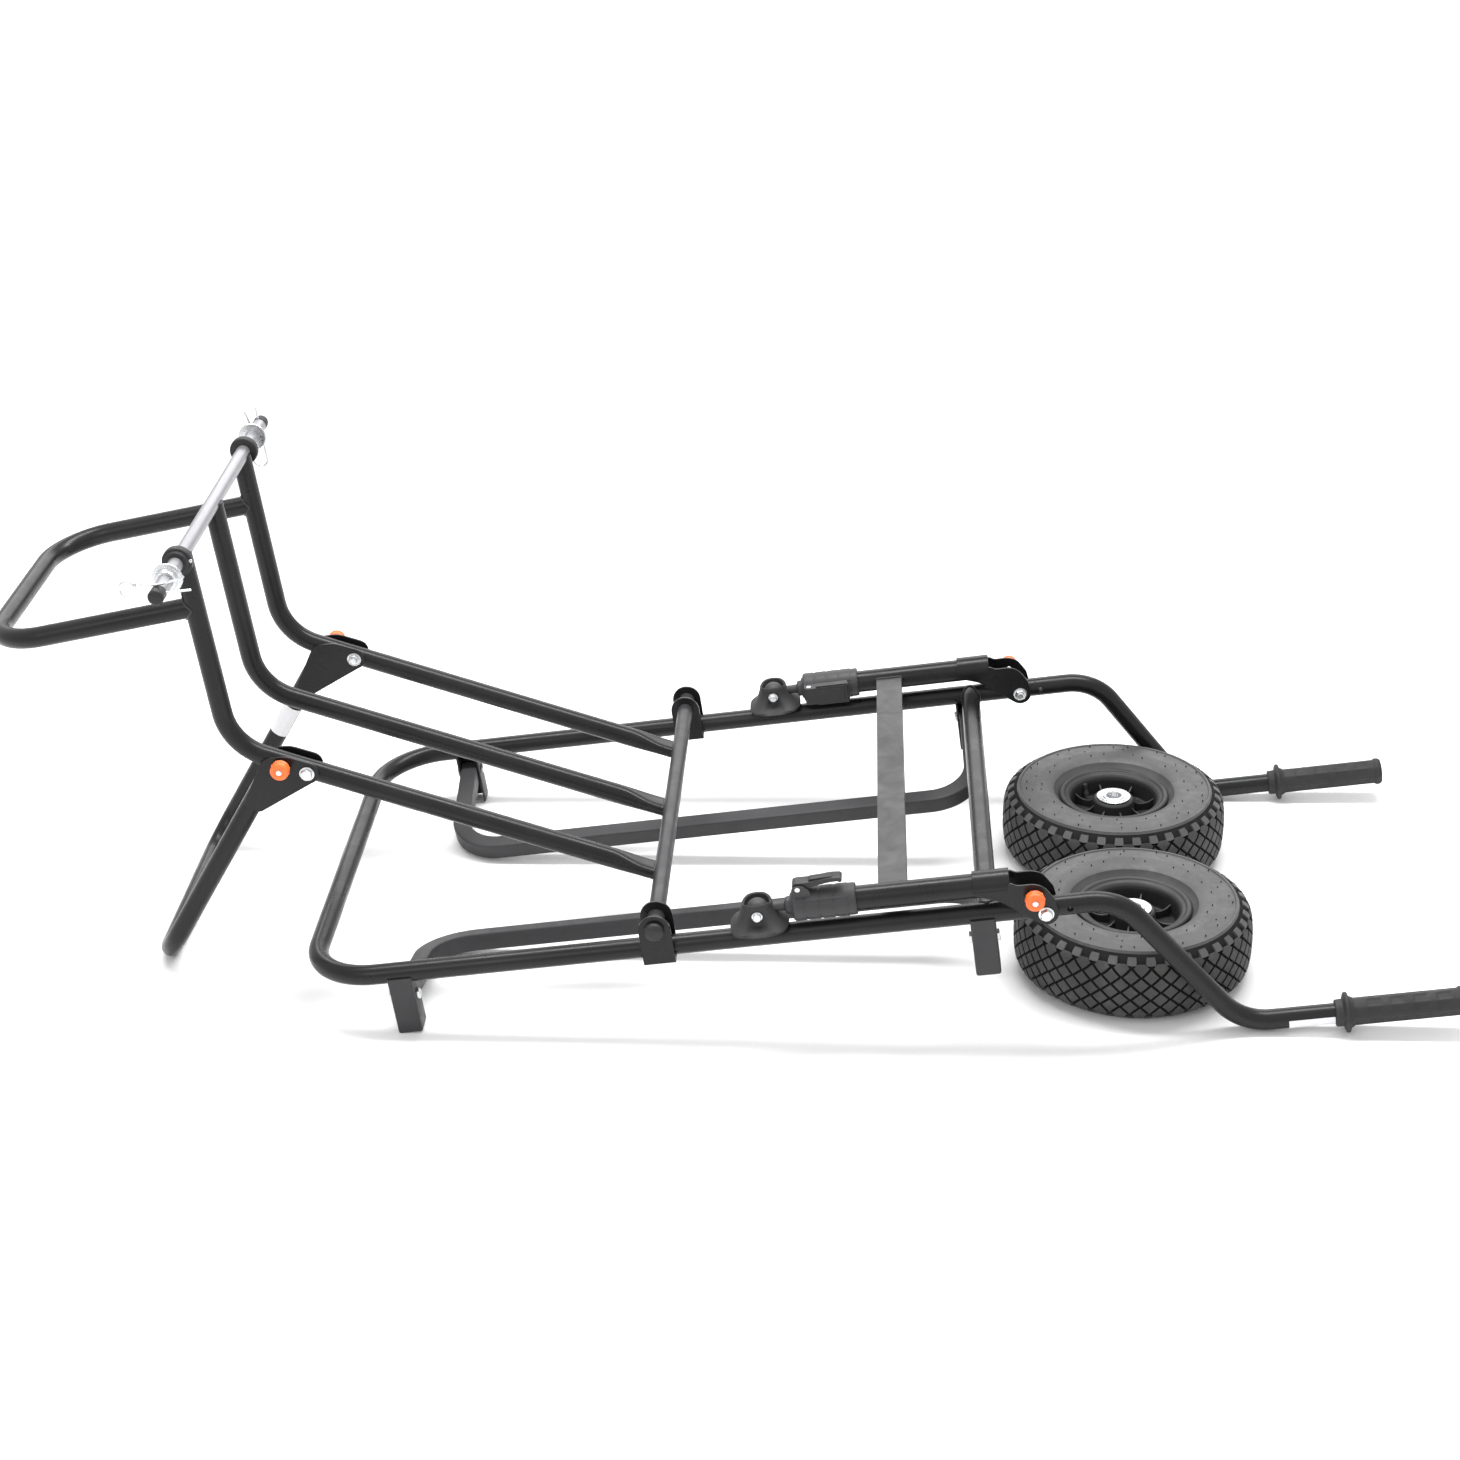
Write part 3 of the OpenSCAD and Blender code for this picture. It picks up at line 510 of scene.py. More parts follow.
def hub(name, x, y):
    shape = Shape()
    top = [(8.3, 29.4), (8.9, 30.6), (11.6, 30.8), (12.4, 30.4), (12.9, 29.5), (14.2, 29.3), (18.2, 30.0),
           (19.8, 29.6),
           (20.0, 28.4), (16.0, 28.3), (16.0, 0)]
    shape.add(lathe(rounded(top, 0.3, 2) + [(r, -z) for r, z in rounded(top, 0.3, 2)[::-1]], 80, closed=True))
    spin = FLOOR @ Matrix.Translation((x, y, 42.55))
    return shape.make("hub_" + name + "_bearing", "wheel_core_" + name, [ZINC], "zinc", base=spin, angle=30,
                      stands_for=["hub_" + name])


for side, x, y, turn in WHEELS:
    tyre(side, x, y, turn)
    rim(side, x, y, turn)
    hub(side, x, y)


# ---- axle frame ----
def j_tube(name, y):
    corner_w = PIVOT_W + (PIVOT_U - STAND_U) * math.tan(RISE)
    path = dense(bent([(PIVOT_U - 4, y, PIVOT_W - J_DROP + 2), (STAND_U, y, corner_w),
                       (STAND_U, y, AXLE_W)], 62), 6)
    total = sum((b - a).length for a, b in zip(path, path[1:]))

    def section(t):
        flat = max(0.0, min(1.0, 1 - (t * total - 16) / 42))
        flat = flat * flat * (3 - 2 * flat)
        wide, high = 11 + 2.6 * flat, 11 - 4.2 * flat
        power = 2 / (2 + 1.4 * flat)
        out = []
        for x, z in circle(1.0, 48):
            out.append((math.copysign(abs(x) ** power, x) * wide, math.copysign(abs(z) ** power, z) * high))
        return out

    shape = Shape().add(sweep(path, section, (0, 1, 0)))
    return shape.make("j_tube_" + name + "_formed", "axle_frame", [PAINT], "frame_paint", angle=50,
                      stands_for=["j_tube_" + name])


for side, s in (("near", -1), ("middle", 0), ("far", 1)):
    j_tube(side, s * J_HALF)

welds = Shape()
for s in (-1, 0, 1):
    y = s * J_HALF
    back = Vector((-math.cos(RISE), 0, math.sin(RISE)))
    line = []
    for i in range(36):
        f = 2 * math.pi * i / 36
        across, high = 13.4 * math.cos(f), 6.9 * math.sin(f)
        c = Vector((0, 1, 0)).cross(back)
        off = max(-8.9, high - J_DROP * math.cos(RISE))
        line.append(Vector((PIVOT_U, y + across, PIVOT_W)) + c * off + back * math.sqrt(81 - off * off))
    welds.add(bead(line, 1.5))
for s in (-1, 1):
    lean = Vector((-math.cos(math.radians(4.5)), 0, -math.sin(math.radians(4.5))))
    welds.add(bead(saddle_line((STAND_U, s * J_HALF, LOOP_W), (0, 0, 1), lean, 11.1, 11), 1.5))
for s in (-1, 0, 1):
    line = [(STAND_U + 8.3 * math.cos(a), s * J_HALF + 10.2 * math.sin(a),
             AXLE_W - 8.3 * abs(math.sin(a)) * 0.2 - 4.5)
            for a in [2 * math.pi * i / 32 for i in range(32)]]
    welds.add(bead(line, 1.3))
# the beads take the lighter grey paint, painted reflection
welds.make("welds_axle_frame", "axle_frame", [PAINT_GREY], "frame_paint", angle=60)

collars = Shape()
for s in (-1, 1):
    at = place((STAND_U, s * (J_HALF + 12), AXLE_W), (0, s, 0))
    collars.add(solid(rounded([(0.01, 0), (15, 0), (16, 1.5), (16, 8.5), (15, 10), (12.8, 10), (12.8, 14),
                               (11.5, 14.6),
                               (0.01, 14.6)], 0.8, 3), 56), 0, at)
    collars.add(solid([(0.01, 9.5), (2.1, 9.5), (2.1, 10.6), (1.6, 11), (0.01, 11)], 16), 1,
                at @ place((14.4, 0, 0)) @ Matrix.Translation((0, 0, -0.4)))
collars.make("axle_collars_ring", "axle_frame", [BLACK, ZINC], "plastic", bevel=0.3,
             stands_for=["axle_collars"])

caps = Shape()
for s in (-1, 1):
    caps.add(solid([(8.0, -13), (8.25, -12.6), (8.3, 0), (8.1, 1.2), (7.2, 2.3), (5.2, 2.9), (0.01, 3.0)],
                   48), 0,
             place((STAND_U, s * 256, AXLE_W), (0, s, 0)))
caps.make("axle_end_plugs", "axle_frame", [BLACK], "plastic", stands_for=["axle_end_caps"])

caps = Shape()
for s in (-1, 1):
    caps.add(solid([(10.0, -0.2), (10.5, 0.3), (10.5, 2.5), (10.2, 4.4), (9.2, 6.0), (7.2, 7.3),
                    (4.0, 7.9), (0.01, 8.0)], 48), 0,
             place((PIVOT_U, s * (HALF + 17), PIVOT_W), (0, s, 0)))
caps.make("pivot_end_domes", "axle_frame", [BLACK], "plastic", stands_for=["pivot_caps"])

for side, s in SIDES:
    shape = Shape()
    at = place((STAND_U, s * (J_HALF + 60.75), AXLE_W), (0, s, 0))
    shape.add(solid(rounded([(8.1, 0), (15.2, 0), (16.0, 0.5), (16.0, 2.0), (15.4, 2.5), (12.0, 2.5),
                             (11.5, 3.2), (11.5, 10.4),
                             (10.9, 11.6), (8.3, 11.6)], 0.4, 2), 64), 0, at)
    shape.make("axle_washer_" + side + "_cup", "washer_" + side, [ZINC], "zinc",
               stands_for=["axle_washer_" + side])


def hairpin(side, at):
    """One straight leg, a round eye and a second leg with its bump."""
    path = [Vector((34, 0, 0)), Vector((-26, 0, 0))]
    eye = Vector((-30, 8.3, 0))
    for i in range(27):
        a = math.radians(-80 - i * 10.4)
        path.append(eye + Vector((8.3 * math.cos(a), 8.3 * math.sin(a), 0.9 * i / 26)))
    path += [Vector(p) for p in ((-20, 14.2, 0.5), (-10, 10.6, 0.2), (0, 9.6, 0), (8, 10.2, 0),
                                 (16, 11.6, 0), (24, 12.6, 0),
                                 (30, 14.8, 0))]
    shape = Shape().add(sweep(dense(path, 2.0), circle(1.3, 12), (0, 0, 1)), 0, at)
    shape.make("hairpin_" + side + "_wire", "clip_" + side, [ZINC], "zinc", angle=50,
               stands_for=["hairpin_" + side])


hairpin("near", Matrix.Translation((STAND_U, -246, AXLE_W)) @ Matrix.Rotation(math.pi / 2, 4, "X"))
hairpin("far", Matrix.Translation((STAND_U, 246, AXLE_W - 12)) @ Matrix.Rotation(-math.pi / 2, 4, "Y")
        @ Matrix.Rotation(math.pi / 2, 4, "X"))


# ---- bolts and plungers ----
def bolt(shape, at, s, reach, flats=12, height=4.6, m=0):
    """A hex bolt on its washer and a lock nut on the other cheek, the axis along y."""
    for e in (-1, 1):
        seat = place((at[0], at[1] + e * reach, at[2]), (0, e, 0))
        shape.add(washer(flats * 0.68, 4, 1.0), m, seat @ Matrix.Translation((0, 0, 0.2)))
        if e == s:
            shape.add(hex_head(flats, height), m,
                      seat @ Matrix.Translation((0, 0, 1.2)) @ Matrix.Rotation(0.35, 4, "Z"))
        else:
            shape.add(hex_head(flats, height - 0.6), m,
                      seat @ Matrix.Translation((0, 0, 1.2)) @ Matrix.Rotation(0.1, 4, "Z"))
            thread = [(4.0, 0), (4.0, 4.2)]
            for k in range(3):
                thread += [(3.6, 4.6 + k * 0.9), (4.0, 5.05 + k * 0.9)]
            shape.add(solid(thread + [(3.2, 7.6), (0.01, 7.6)], 24), m, seat)
    shape.add(solid([(4.0, -reach), (4.0, reach)], 24), m, place(at, (0, 1, 0)))


def knob(name, body, at, s, pin, node):
    shape = Shape()
    seat = place(at, (0, s, 0))
    r = 10.0
    profile = rounded([(3.0, 3.6), (r - 1.2, 3.6), (r, 4.6), (r, 9.4), (r - 0.7, 10.0), (r - 0.7, 10.8),
                       (r, 11.4),
                       (r, 13.6), (r - 1.6, 15.4), (4.6, 15.6), (4.2, 14.9), (3.2, 14.9)], 0.5, 3)
    shape.add(solid(profile, 64), 0, seat)
    shape.add(solid(rounded([(3.2, 14.6), (3.2, 15.9), (2.2, 16.2), (0.01, 16.2)], 0.3, 2), 32), 1, seat)
    for i in range(10):
        a = 2 * math.pi * i / 10
        shape.add(solid([(0.8, 5.2), (0.8, 9.0)], 8), 0,
                  seat @ Matrix.Translation((9.75 * math.cos(a), 9.75 * math.sin(a), 0)))
    shape.add(solid([(2.4, -pin), (3.0, -pin + 0.8), (3.0, 4.0)], 32), 1, seat)
    shape.make(name, body, [ORANGE, ZINC], "orange", bevel=0.0, stands_for=[node])


PROP_U, PROP_W = PIVOT_U - 396 * math.cos(RISE), PIVOT_W + 396 * math.sin(RISE)
PIN_U, PIN_W = PROP_U - 28 * math.cos(RISE), PROP_W + 28 * math.sin(RISE)
shape = Shape()
barrel = rounded([(3.2, 0.2), (7.6, 0.2), (7.6, 2.6), (6.8, 3.3), (3.2, 3.3)], 0.4, 2)
for s in (-1, 1):
    bolt(shape, (PROP_U, s * J_HALF, PROP_W), s, 14.1)
    shape.add(solid(barrel, 40), 0, place((PIN_U, s * (J_HALF + 14.1), PIN_W), (0, s, 0)))
shape.make("prop_bolt_set", "prop", [ZINC], "zinc", angle=30, stands_for=["prop_fixings"])
for side, s in SIDES:
    knob("prop_knob_" + side + "_pull", "prop_plunger_" + side, (PIN_U, s * (J_HALF + 14.1), PIN_W), s,
         2.7, "prop_knob_" + side)

shape = Shape()
for s in (-1, 1):
    bolt(shape, (REAR_U, s * HALF, 0), s, 15.6)
    shape.add(solid(barrel, 40), 0, place((REAR_U - 10, s * (HALF + 15.6), 22), (0, s, 0)))
shape.make("rear_bolt_set", "rear_legs", [ZINC], "zinc", angle=30, stands_for=["rear_fixings"])
for side, s in SIDES:
    knob("rear_knob_" + side + "_pull", "rear_plunger_" + side, (REAR_U - 10, s * (HALF + 15.6), 22), s,
         3.9, "rear_knob_" + side)

# ---- prop leg brackets ----
for side, s in SIDES:
    shape = Shape()
    frame_at = Matrix.Translation((PROP_U, s * J_HALF, PROP_W)) @ Matrix.Rotation(RISE, 4, "Y")
    arc = [(12.5 * math.cos(a), 12.5 * math.sin(a)) for a in [math.radians(90 - 12 * i) for i in range(13)]]
    outline = arc + [(-39, -63), (-57.5, -58), (-50, 2), (-27, 12.5)]
    outline = rounded_loop(outline, [0] * 13 + [5, 5, 8, 6])
    for e in (-1, 1):
        shape.add(plate(outline, 2.5, 0), 0,
                  frame_at @ Matrix.Translation((0, e * 12.85, 0)) @ Matrix.Rotation(math.pi / 2, 4, "X"))
    shape.make("prop_bracket_" + side + "_cheeks", "prop", [PAINT], "frame_paint", bevel=0.5,
               stands_for=["prop_bracket_" + side])

# ---- rear leg brackets ----
for side, s in SIDES:
    shape = Shape()
    outline = [(-72, 33), (-72, 29), (-46, 20), (-10, -9)]
    nose = [(13 * math.cos(a), 13 * math.sin(a)) for a in [math.radians(-130 + 13 * i) for i in range(11)]]
    outline = outline[:3] + nose + [(10.5, 16), (1, 31.5), (-9, 36.2), (-27, 36.2), (-32, 39.5),
                                    (-36, 39.5), (-36, 33)]
    for e in (-1, 1):
        loop = rounded_loop(outline, [1, 1, 6] + [0] * 11 + [3, 6, 6, 5, 2, 1, 1], 3)
        shape.add(plate(loop, 2.5), 0,
                  Matrix.Translation((REAR_U, s * HALF + e * 14.25, 0)) @ Matrix.Rotation(math.pi / 2, 4,
                                                                                          "X"))
    # half sleeve over the tube end
    verts, faces, n, long = [], [], 20, 5
    for r in (15.5, 13.05):
        for k in range(long + 1):
            u = 716 + 38 * k / long
            verts += [(u, s * HALF + r * math.cos(math.pi * i / n), 33 + r * math.sin(math.pi * i / n))
                      for i in range(n + 1)]
    row, block = n + 1, (n + 1) * (long + 1)
    for k in range(long):
        for i in range(n):
            a = k * row + i
            faces += [[a, a + 1, a + row + 1, a + row],
                      [block + a, block + a + row, block + a + row + 1, block + a + 1]]
        for i in (0, n):
            a = k * row + i
            faces.append([a, a + row, block + a + row, block + a])
    for k in (0, long):
        for i in range(n):
            a = k * row + i
            faces.append([a, block + a, block + a + 1, a + 1])
    shape.add((verts, faces))
    shape.make("rear_bracket_" + side + "_folded", "rear_legs", [PAINT], "frame_paint", bevel=0.5,
               stands_for=["rear_bracket_" + side])

# ---- telescoping legs: sleeve, lever, inner leg and foot ----
for side, s in SIDES:
    shape = Shape()
    at = place((CLAMP_U, s * HALF, LEG_W), (1, 0, 0), (0, 0, 1))
    profile = [(9.7, -1.0), (11.9, -1.0), (12.5, -0.5), (12.5, 0.6), (15.6, 1.2), (16.9, 2.4)]
    for z in (1, 16, 31, 46):
        profile += [(17.5, z + 2.2), (17.5, z + 13.2), (16.9, z + 14.0), (16.9, z + 14.6)]
    profile += [(16.9, 62.5), (16.9, 66.2), (16.2, 68), (13.1, 68)]
    shape.add(solid(rounded(profile, 0.5, 2), 72), 0, at)
    lever_z, lever_y = (1, 0) if s < 0 else (0, -1)
    out = Vector((0, lever_y, lever_z))
    turn = place((CLAMP_U, s * HALF, LEG_W), (1, 0, 0), out)
    for e in (-1, 1):
        ear = rounded_loop([(11, 3.2), (26, 3.2), (26, 15), (18, 22), (11, 22)], [0, 5, 5, 3, 0])
        shape.add(plate(ear, 3.0, e * 9.3), 0, turn @ ON_EDGE)
    for a in (0.9, 2.2, 4.0, 5.4):
        shape.add(box((16.2, -1.2, 3), (18.0, 1.2, 60)), 0, at @ Matrix.Rotation(a, 4, "Z"))
    shape.make("clamp_" + side + "_sleeve", "rear_legs", [CLAMP], "plastic", bevel=0.6,
               stands_for=["clamp_" + side])

    shape = Shape()
    flip = turn @ ON_EDGE
    arm = [(18.9, 3.6), (26.3, 3.6), (28.2, 7), (28.0, 20), (30.5, 44), (30.0, 54), (27.5, 56.5),
           (24, 54.5), (26.2, 51),
           (25.5, 40), (22, 22), (19.2, 14)]
    if s > 0:
        arm = [(18.9, 4.0), (26.6, 4.0), (28.6, 6), (28.6, 55), (26.5, 57), (20.0, 57), (18.6, 55),
               (18.6, 14)]
    width = 14.5 if s < 0 else 21.5
    shape.add(plate(rounded_loop(arm, 1.6, 3), width), 0, flip)
    if s < 0:
        shape.add(plate(rounded_loop([(22, 18), (30.4, 22), (31.4, 46), (26, 50)], 2), 9.0), 0, flip)
    else:
        shape.add(plate(rounded_loop([(28.2, 9), (29.2, 9), (29.2, 52), (28.2, 52)], 0.3), 16.0), 0, flip)
        shape.add(box((18.4, -12.6, 18), (27.4, 12.6, 56)), 0, turn)
    shape.add(solid([(2.6, -11.0), (2.9, -10.6), (2.9, 10.6), (2.6, 11.0)], 24), 1,
              flip @ Matrix.Translation((22.5, 9, 0)))
    shape.make("cam_lever_" + side + "_arm", "lever_" + side, [BLACK, ZINC], "plastic", bevel=0.8,
               stands_for=["cam_lever_" + side])

    shape = Shape()
    shape.add(solid(rounded([(0.01, -119.5), (8.6, -119.5), (9.5, -118.5), (9.5, -1), (8.6, 0.6),
                             (5.4, 1.6), (4.9, 8),
                                 (5.2, 24)], 0.8, 3), 48), 0,
              place((FOOT_U + 30.5, s * HALF, LEG_W), (-1, 0, 0)))
    dome = [(12.3 * math.sin(math.radians(a)), 12.3 * math.cos(math.radians(a))) for a in range(0, 176, 8)]
    shape.add(solid([(max(0.01, r), z) for r, z in dome[::-1]], 48), 0,
              Matrix.Translation((FOOT_U, s * HALF, 32)))
    shape.make("inner_leg_" + side + "_ball", "leg_slide_" + side, [CLAMP], "leg_metal", angle=40,
               stands_for=["inner_leg_" + side])

    # foot: a waisted cone with a socket, and cut away in front and behind round its bolt
    verts, n = [], 72
    rings = [(0.0, 32.5), (2.6, 32.5), (3.4, 31.4), (6.0, 27.6), (10.0, 23.4), (15.0, 20.0), (20.0, 17.9),
             (25.0, 16.7),
             (28.4, 16.4), (29.4, 15.4), (28.6, 13.4), (24.5, 12.9), (20.0, 11.5), (16.6, 6.0), (15.6, 0.01)]
    for z, r in rings:
        for i in range(n):
            a = 2 * math.pi * i / n
            side_on = abs(math.sin(a))
            cut = max(0.0, side_on - 0.86) / 0.14
            cut = cut * cut * (3 - 2 * cut)
            low = max(0.0, min(1.0, (z - 1.5) / 5)) * max(0.0, min(1.0, (24 - z) / 5))
            rr = r
            if r > 15:
                rr = r - cut * low * (r - 15.8) * 0.95
                rr *= 1 - 0.05 * math.cos(4 * a) * min(1, max(0, (r - 17) / 10))
            zz = z
            if z > 24:
                zz = z - 3.5 * abs(math.cos(a)) ** 6
            verts.append((rr * math.cos(a), rr * math.sin(a), zz))
    faces = bands(n, len(rings) - 1)
    faces.append(list(range(n))[::-1])
    shape = Shape().add((verts, faces), 0, Matrix.Translation((FOOT_U, s * HALF, 14.6)))
    shape.make("foot_" + side + "_pad", "foot_pad_" + side, [RUBBER], "rubber", angle=50,
               stands_for=["foot_" + side])
    shape = Shape()
    bolt(shape, (FOOT_U, s * HALF, 32), -1, 16.2, 8.4, 3.6)
    shape.make("foot_bolt_" + side + "_set", "foot_pad_" + side, [ZINC], "zinc", angle=30,
               stands_for=["foot_bolts_" + side])

# ---- side rails ----
RAIL_A, RAIL_B = POST_AT
DIP = math.radians(11.5)
for side, s in SIDES:
    lay = Matrix.Translation((0, s * HALF, -28)) @ Matrix.Rotation(s * DIP, 4, "X")
    corner = 2.6
    square = rounded_loop([(-10, -10), (10, -10), (10, 10), (-10, 10)], corner, 4)
    path = dense(bent([(RAIL_A, 0, 0), (RAIL_A, -s * RAIL_LEG, 0), (RAIL_B, -s * RAIL_LEG, 0),
                       (RAIL_B, 0, 0)], RAIL_BEND, 16), 20)
    shape = Shape().add(sweep(path, square, (0, 0, 1)), 0, lay)
    for u in (RAIL_A, RAIL_B):
        shape.add(solid([(9.4, -9.95), (9.95, -9.3), (9.95, 9.3), (9.4, 9.95)], 48), 0,
                  lay @ place((u, 0, 0), (1, 0, 0)))
    shape.make("rail_" + side + "_tube", "rail_frame_" + side, [RAIL], "frame_paint", angle=25,
               stands_for=["rail_" + side])
    shape = Shape()
    for u in (RAIL_A, RAIL_B):
        shape.add(solid([(3.6, -16.2), (4, -15.8), (4, 15.8), (3.6, 16.2)], 32), 0,
                  lay @ place((u, 0, 0), (1, 0, 0)))
        for e in (-1, 1):
            shape.add(hex_head(11.6, 2.6), 0, lay @ place((u + e * (POST + 0.4), 0, 0), (e, 0, 0)))
    shape.make("rail_pins_" + side + "_bolt", "rail_frame_" + side, [ZINC], "zinc", angle=30,
               stands_for=["rail_pins_" + side])

# ---- posts, welds and labels on the main frame ----
shape = Shape()
for u in POST_AT:
    for s in (-1, 1):
        w, t = POST, 2.5
        outer = rounded_loop([(-w, -w), (-w + t, -w), (-w + t, w - t), (w - t, w - t), (w - t, -w),
                              (w, -w), (w, w), (-w, w)],
                             [1, 1, 1.5, 1.5, 1, 1, 3.4, 3.4], 4)
        n = len(outer)
        rows = []
        for z in (-POST_DOWN, -66.5, -40, -20, -2):
            inset = 0.97 if z == -POST_DOWN else 1.0
            rows.append([(u + x * inset, s * (HALF + y * inset), z) for x, y in outer])
        verts = [v for r in rows for v in r]
        faces = bands(n, 4)
        shape.add((verts, faces + [list(range(n))[::-1], list(range(4 * n, 5 * n))]))
shape.make("rail_posts_channel", "chassis", [RAIL], "frame_paint", angle=30, stands_for=["rail_posts"])

welds = Shape()
for s in (-1, 1):
    welds.add(bead(saddle_line((728, s * HALF, 0), (1, 0, 0), (0, -s, 0), 11.05, 11), 1.6))
    for u in POST_AT:
        line = [(u - 12, s * (HALF + 10.4), -6.2), (u + 12, s * (HALF + 10.4), -6.2)]
        welds.add(bead(line, 1.6, closed=False))
    for e in (-1, 1):
        line = [(PIVOT_U - 19, s * HALF + e * 11.4, -4.8), (PIVOT_U + 19, s * HALF + e * 11.4, -4.8)]
        welds.add(bead(line, 1.2, closed=False))
# the beads take the lighter grey paint, painted reflection
welds.make("welds_main_frame", "chassis", [PAINT_GREY], "frame_paint", angle=60)

welds = Shape()
for s in (-1, 1):
    line = [(633 + x, s * (HALF - 12.2 + 0.012 * z * z), 33 + z) for x, z in
            rounded_loop([(-15.3, -6.3), (15.3, -6.3), (15.3, 6.3), (-15.3, 6.3)], 2)]
    welds.add(bead(line, 1.3))
# the beads take the lighter grey paint, painted reflection
welds.make("welds_rear_legs", "rear_legs", [PAINT_GREY], "frame_paint", angle=60)


def grip(side, s):
    shape = Shape()
    at = place((GRIP_U, s * HALF, GRIP_W), (1, 0, 0), (0, 0, 1))
    flange = rounded([(11.2, -10), (13.6, -10), (14.4, -9), (14.6, -2), (19.5, -0.6), (21.5, 0.6),
                      (21.5, 3.2), (20.4, 4.2),
                      (17.6, 4.6), (16.0, 7.5), (14.9, 9.5)], 0.8, 3)
    shape.add(lathe(flange, 72), 0, at)
    # body with eight flats, and sunk panels between its ridges
    n, long = 96, 118
    verts = []
    for k in range(long + 1):
        z = 9.5 + (125 - 9.5) * k / long
        for i in range(n):
            a = 2 * math.pi * i / n
            f = (a / (math.pi / 4)) % 1.0
            ridge = abs(f - 0.5) * 2
            r = 14.9 - 0.55 * (1 - ridge ** 2)
            along = (z - 22) / 24
            cell = along % 1.0
            inside = 0 <= along <= 4
            edge = min(cell / 0.1, (0.72 - cell) / 0.1, (0.78 - ridge) / 0.18)
            if inside and edge > 0:
                r -= 0.85 * min(1.0, edge)
            if z > 117:
                r += 1.6 * min(1.0, (z - 117) / 3)
            if z > 123.5:
                r -= 1.2 * (z - 123.5) / 1.5
            verts.append((r * math.cos(a), r * math.sin(a), z))
    shape.add((verts, bands(n, long)), 0, at)
    shape.add(solid([(15.2, 125), (13.6, 126.6), (11.5, 127), (0.01, 127)], 96), 0, at)
    shape.make("grip_" + side + "_rubber", "chassis", [RUBBER], "rubber", angle=40,
               stands_for=["grip_" + side])


for side, s in SIDES:
    grip(side, s)


def wrap(name, body, at, length, r, start, sweep_deg):
    """A thin blank label bent round a tube; at holds the tube's axis as its z."""
    verts, faces, n, long = [], [], 20, 8
    for lift in (0.05, 0.25):
        for k in range(long + 1):
            for i in range(n + 1):
                a = math.radians(start + sweep_deg * i / n)
                verts.append(((r + lift) * math.cos(a), (r + lift) * math.sin(a), length * (k / long - 0.5)))
    row, block = n + 1, (n + 1) * (long + 1)
    for k in range(long):
        for i in range(n):
            a = k * row + i
            faces += [[a, a + 1, a + row + 1, a + row],
                      [block + a, block + a + row, block + a + row + 1, block + a + 1]]
    for k in range(long):
        for i in (0, n):
            a = k * row + i
            faces.append([a, a + row, block + a + row, block + a])
    for k in (0, long):
        for i in range(n):
            a = k * row + i
            faces.append([a, block + a, block + a + 1, a + 1])
    Shape().add((verts, faces), 0, at).make(name, body, [LABEL], "plastic", angle=40)


wrap("handle_label_blank", "chassis", place((GRIP_U - 35, -HALF, GRIP_W), (1, 0, 0), (0, 0, 1)), 48, 11,
     78, 72)
LEAN = math.radians(38)
leg_dir = Vector((-math.sin(LEAN), 0, -math.cos(LEAN)))
leg_top = Vector((PROP_U, J_HALF, PROP_W)) - 35 * Vector((math.cos(LEAN), 0, -math.sin(LEAN)))
wrap("prop_label_blank", "prop", place(leg_top + leg_dir * 118, leg_dir, (0, -1, 0)), 40, 11, -63, 160)

# ---- looks of the CAD parts that stay ----
# the pivot tube and flat bar take the lighter grey paint, painted reflection
for name, m in (("front_bar", PAINT), ("side_tube_near", PAINT), ("side_tube_far", PAINT),
                ("handle_tube_near", PAINT),
                ("handle_tube_far", PAINT), ("rear_cross_tube", PAINT), ("saddle_near", PAINT),
                ("saddle_far", PAINT),
                ("pivot_tube", PAINT_GREY), ("axle_rod", STEEL), ("front_loop", PAINT), ("prop_leg", PAINT),
                ("rear_tube_near", PAINT), ("rear_tube_far", PAINT), ("flat_bar", PAINT_GREY)):
    o = nodes[name]
    if not o.data.materials:
        o.data.materials.append(m)
    for i in range(len(o.material_slots)):
        o.material_slots[i].material = m
    o.data.polygons.foreach_set("use_smooth", [True] * len(o.data.polygons))
    o.data.set_sharp_from_angle(angle=math.radians(35))
for name in ("saddle_near", "saddle_far", "flat_bar"):
    b = nodes[name].modifiers.new("edges", "BEVEL")
    b.width, b.segments, b.limit_method, b.angle_limit = 0.0008, 2, "ANGLE", math.radians(40)
    b.harden_normals = True

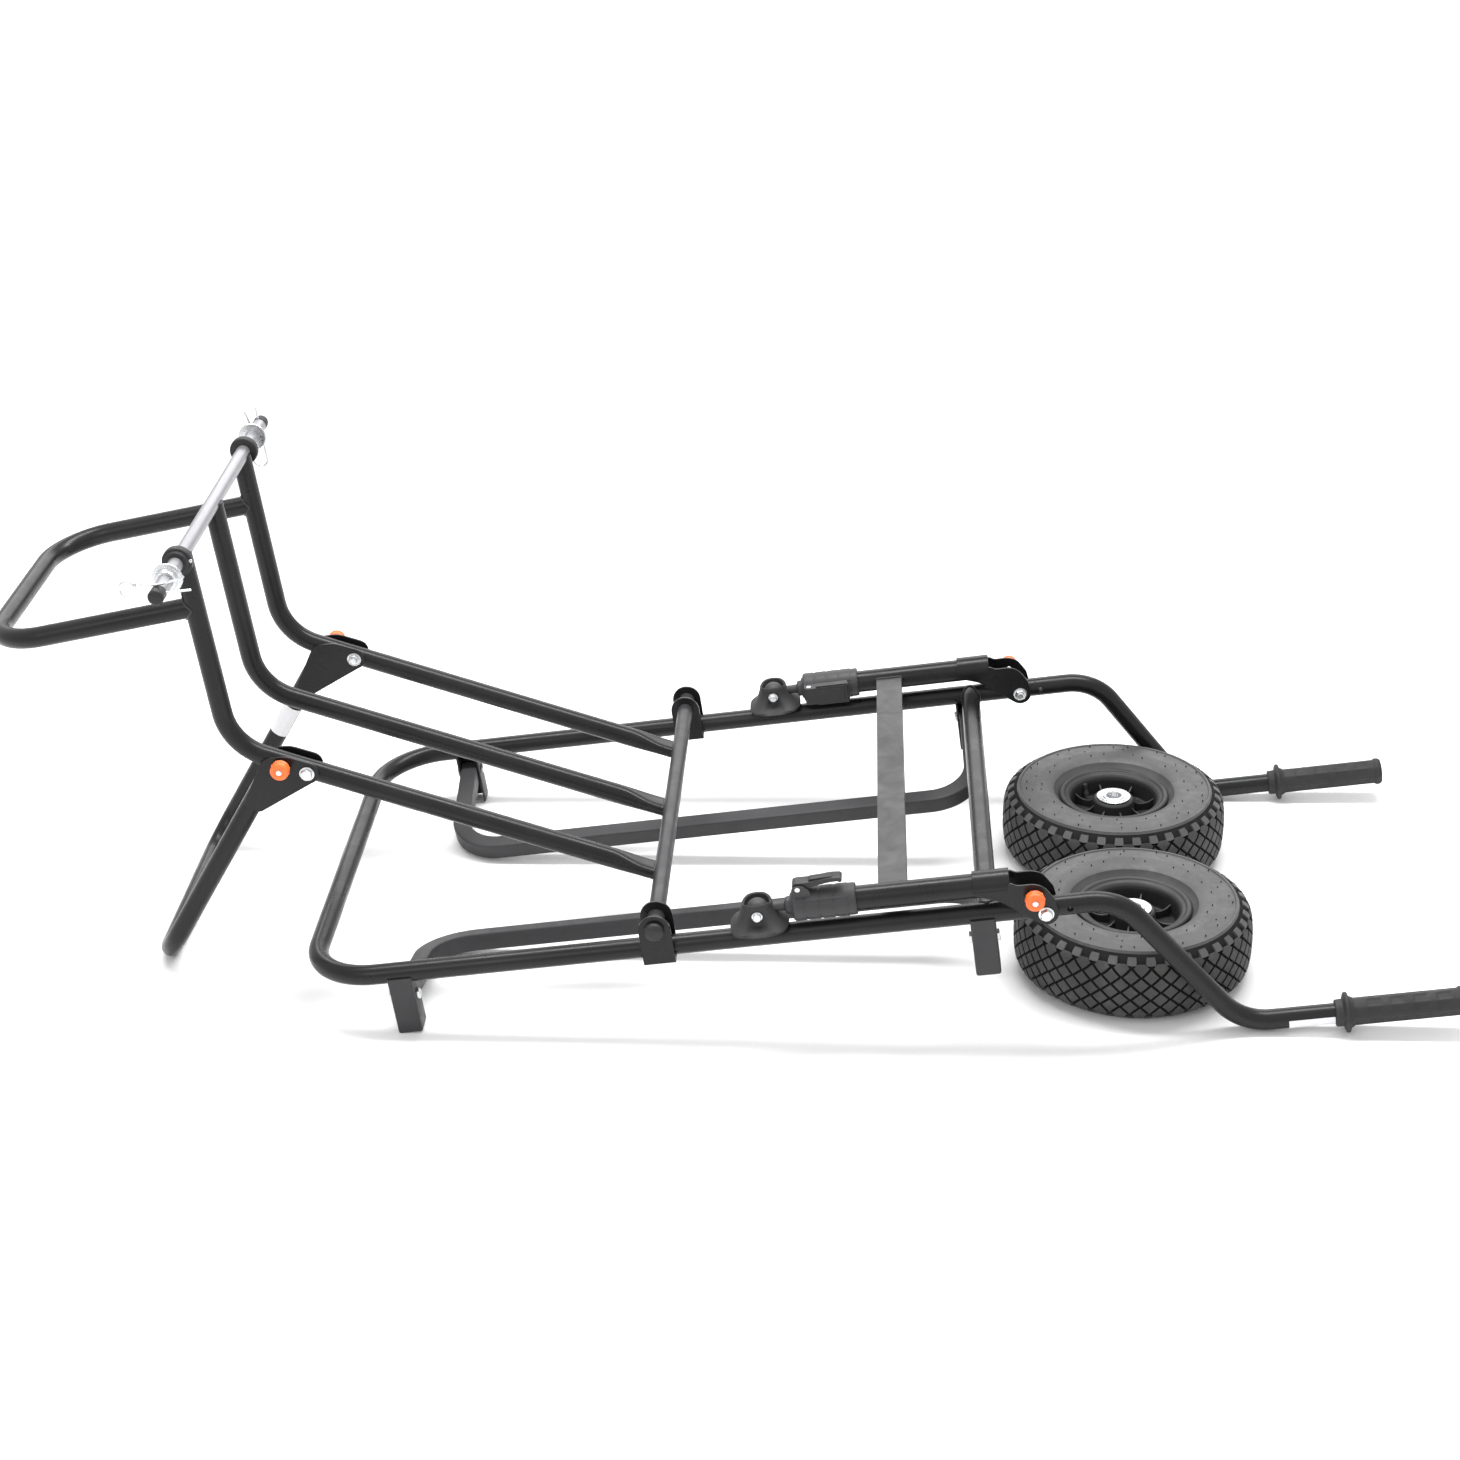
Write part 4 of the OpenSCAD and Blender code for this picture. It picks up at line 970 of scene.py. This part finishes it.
# ---- floor, light and camera ----
scene = bpy.context.scene
floor_mesh = bpy.data.meshes.new("floor")
floor_mesh.from_pydata([(-40, -40, 0), (40, -40, 0), (40, 40, 0), (-40, 40, 0)], [], [(0, 1, 2, 3)])
floor = bpy.data.objects.new("floor", floor_mesh)
scene.collection.objects.link(floor)
floor_look = material("studio_floor", (0.90, 0.90, 0.90), 0.7, spec=0.15, second=(0.92, 0.92, 0.92),
                      mottle=1.5, grain=300,
                      grain_depth=0.00001)
floor_mesh.materials.append(floor_look)

world = bpy.data.worlds.new("studio")
scene.world = world
world.use_nodes = True
world.node_tree.nodes["Background"].inputs["Color"].default_value = (1, 1, 1, 1)
world.node_tree.nodes["Background"].inputs["Strength"].default_value = 0.95


def panel(name, at, aim, size, power):
    data = bpy.data.lights.new(name, "AREA")
    data.shape, data.size, data.size_y, data.energy = "RECTANGLE", size[0], size[1], power
    o = bpy.data.objects.new(name, data)
    o.location = at
    o.rotation_mode = "QUATERNION"
    o.rotation_quaternion = (Vector(aim) - Vector(at)).to_track_quat("-Z", "Y")
    o.visible_camera = False
    scene.collection.objects.link(o)


panel("overhead", (0.0, 0.35, 2.3), (0, 0.05, 0), (2.8, 0.42), 70)
panel("back_wall", (0.0, 8.0, 4.5), (0, 0, 0.3), (9.0, 3.0), 260)
panel("front_fill", (-1.6, -3.2, 2.6), (0, 0, 0.1), (2.0, 1.4), 22)

cam_data = bpy.data.cameras.new("camera")
cam_data.sensor_width, cam_data.lens = 36.0, 65.1
cam = bpy.data.objects.new("camera", cam_data)
scene.collection.objects.link(cam)
turned, down, roll = math.radians(3.44), math.radians(26.44), math.radians(1.7)
ahead = Vector((-math.sin(turned) * math.cos(down), math.cos(turned) * math.cos(down), -math.sin(down)))
level = Vector((math.cos(turned), math.sin(turned), 0))
below = ahead.cross(level)
right = level * math.cos(roll) + below * math.sin(roll)
under = -level * math.sin(roll) + below * math.cos(roll)
m = Matrix((right, -under, -ahead)).transposed().to_4x4()
m.translation = (0.1612, -2.6412, 1.5410)
cam.matrix_world = m
cam_data.dof.use_dof = False
scene.camera = cam
scene.view_settings.view_transform = "Standard"
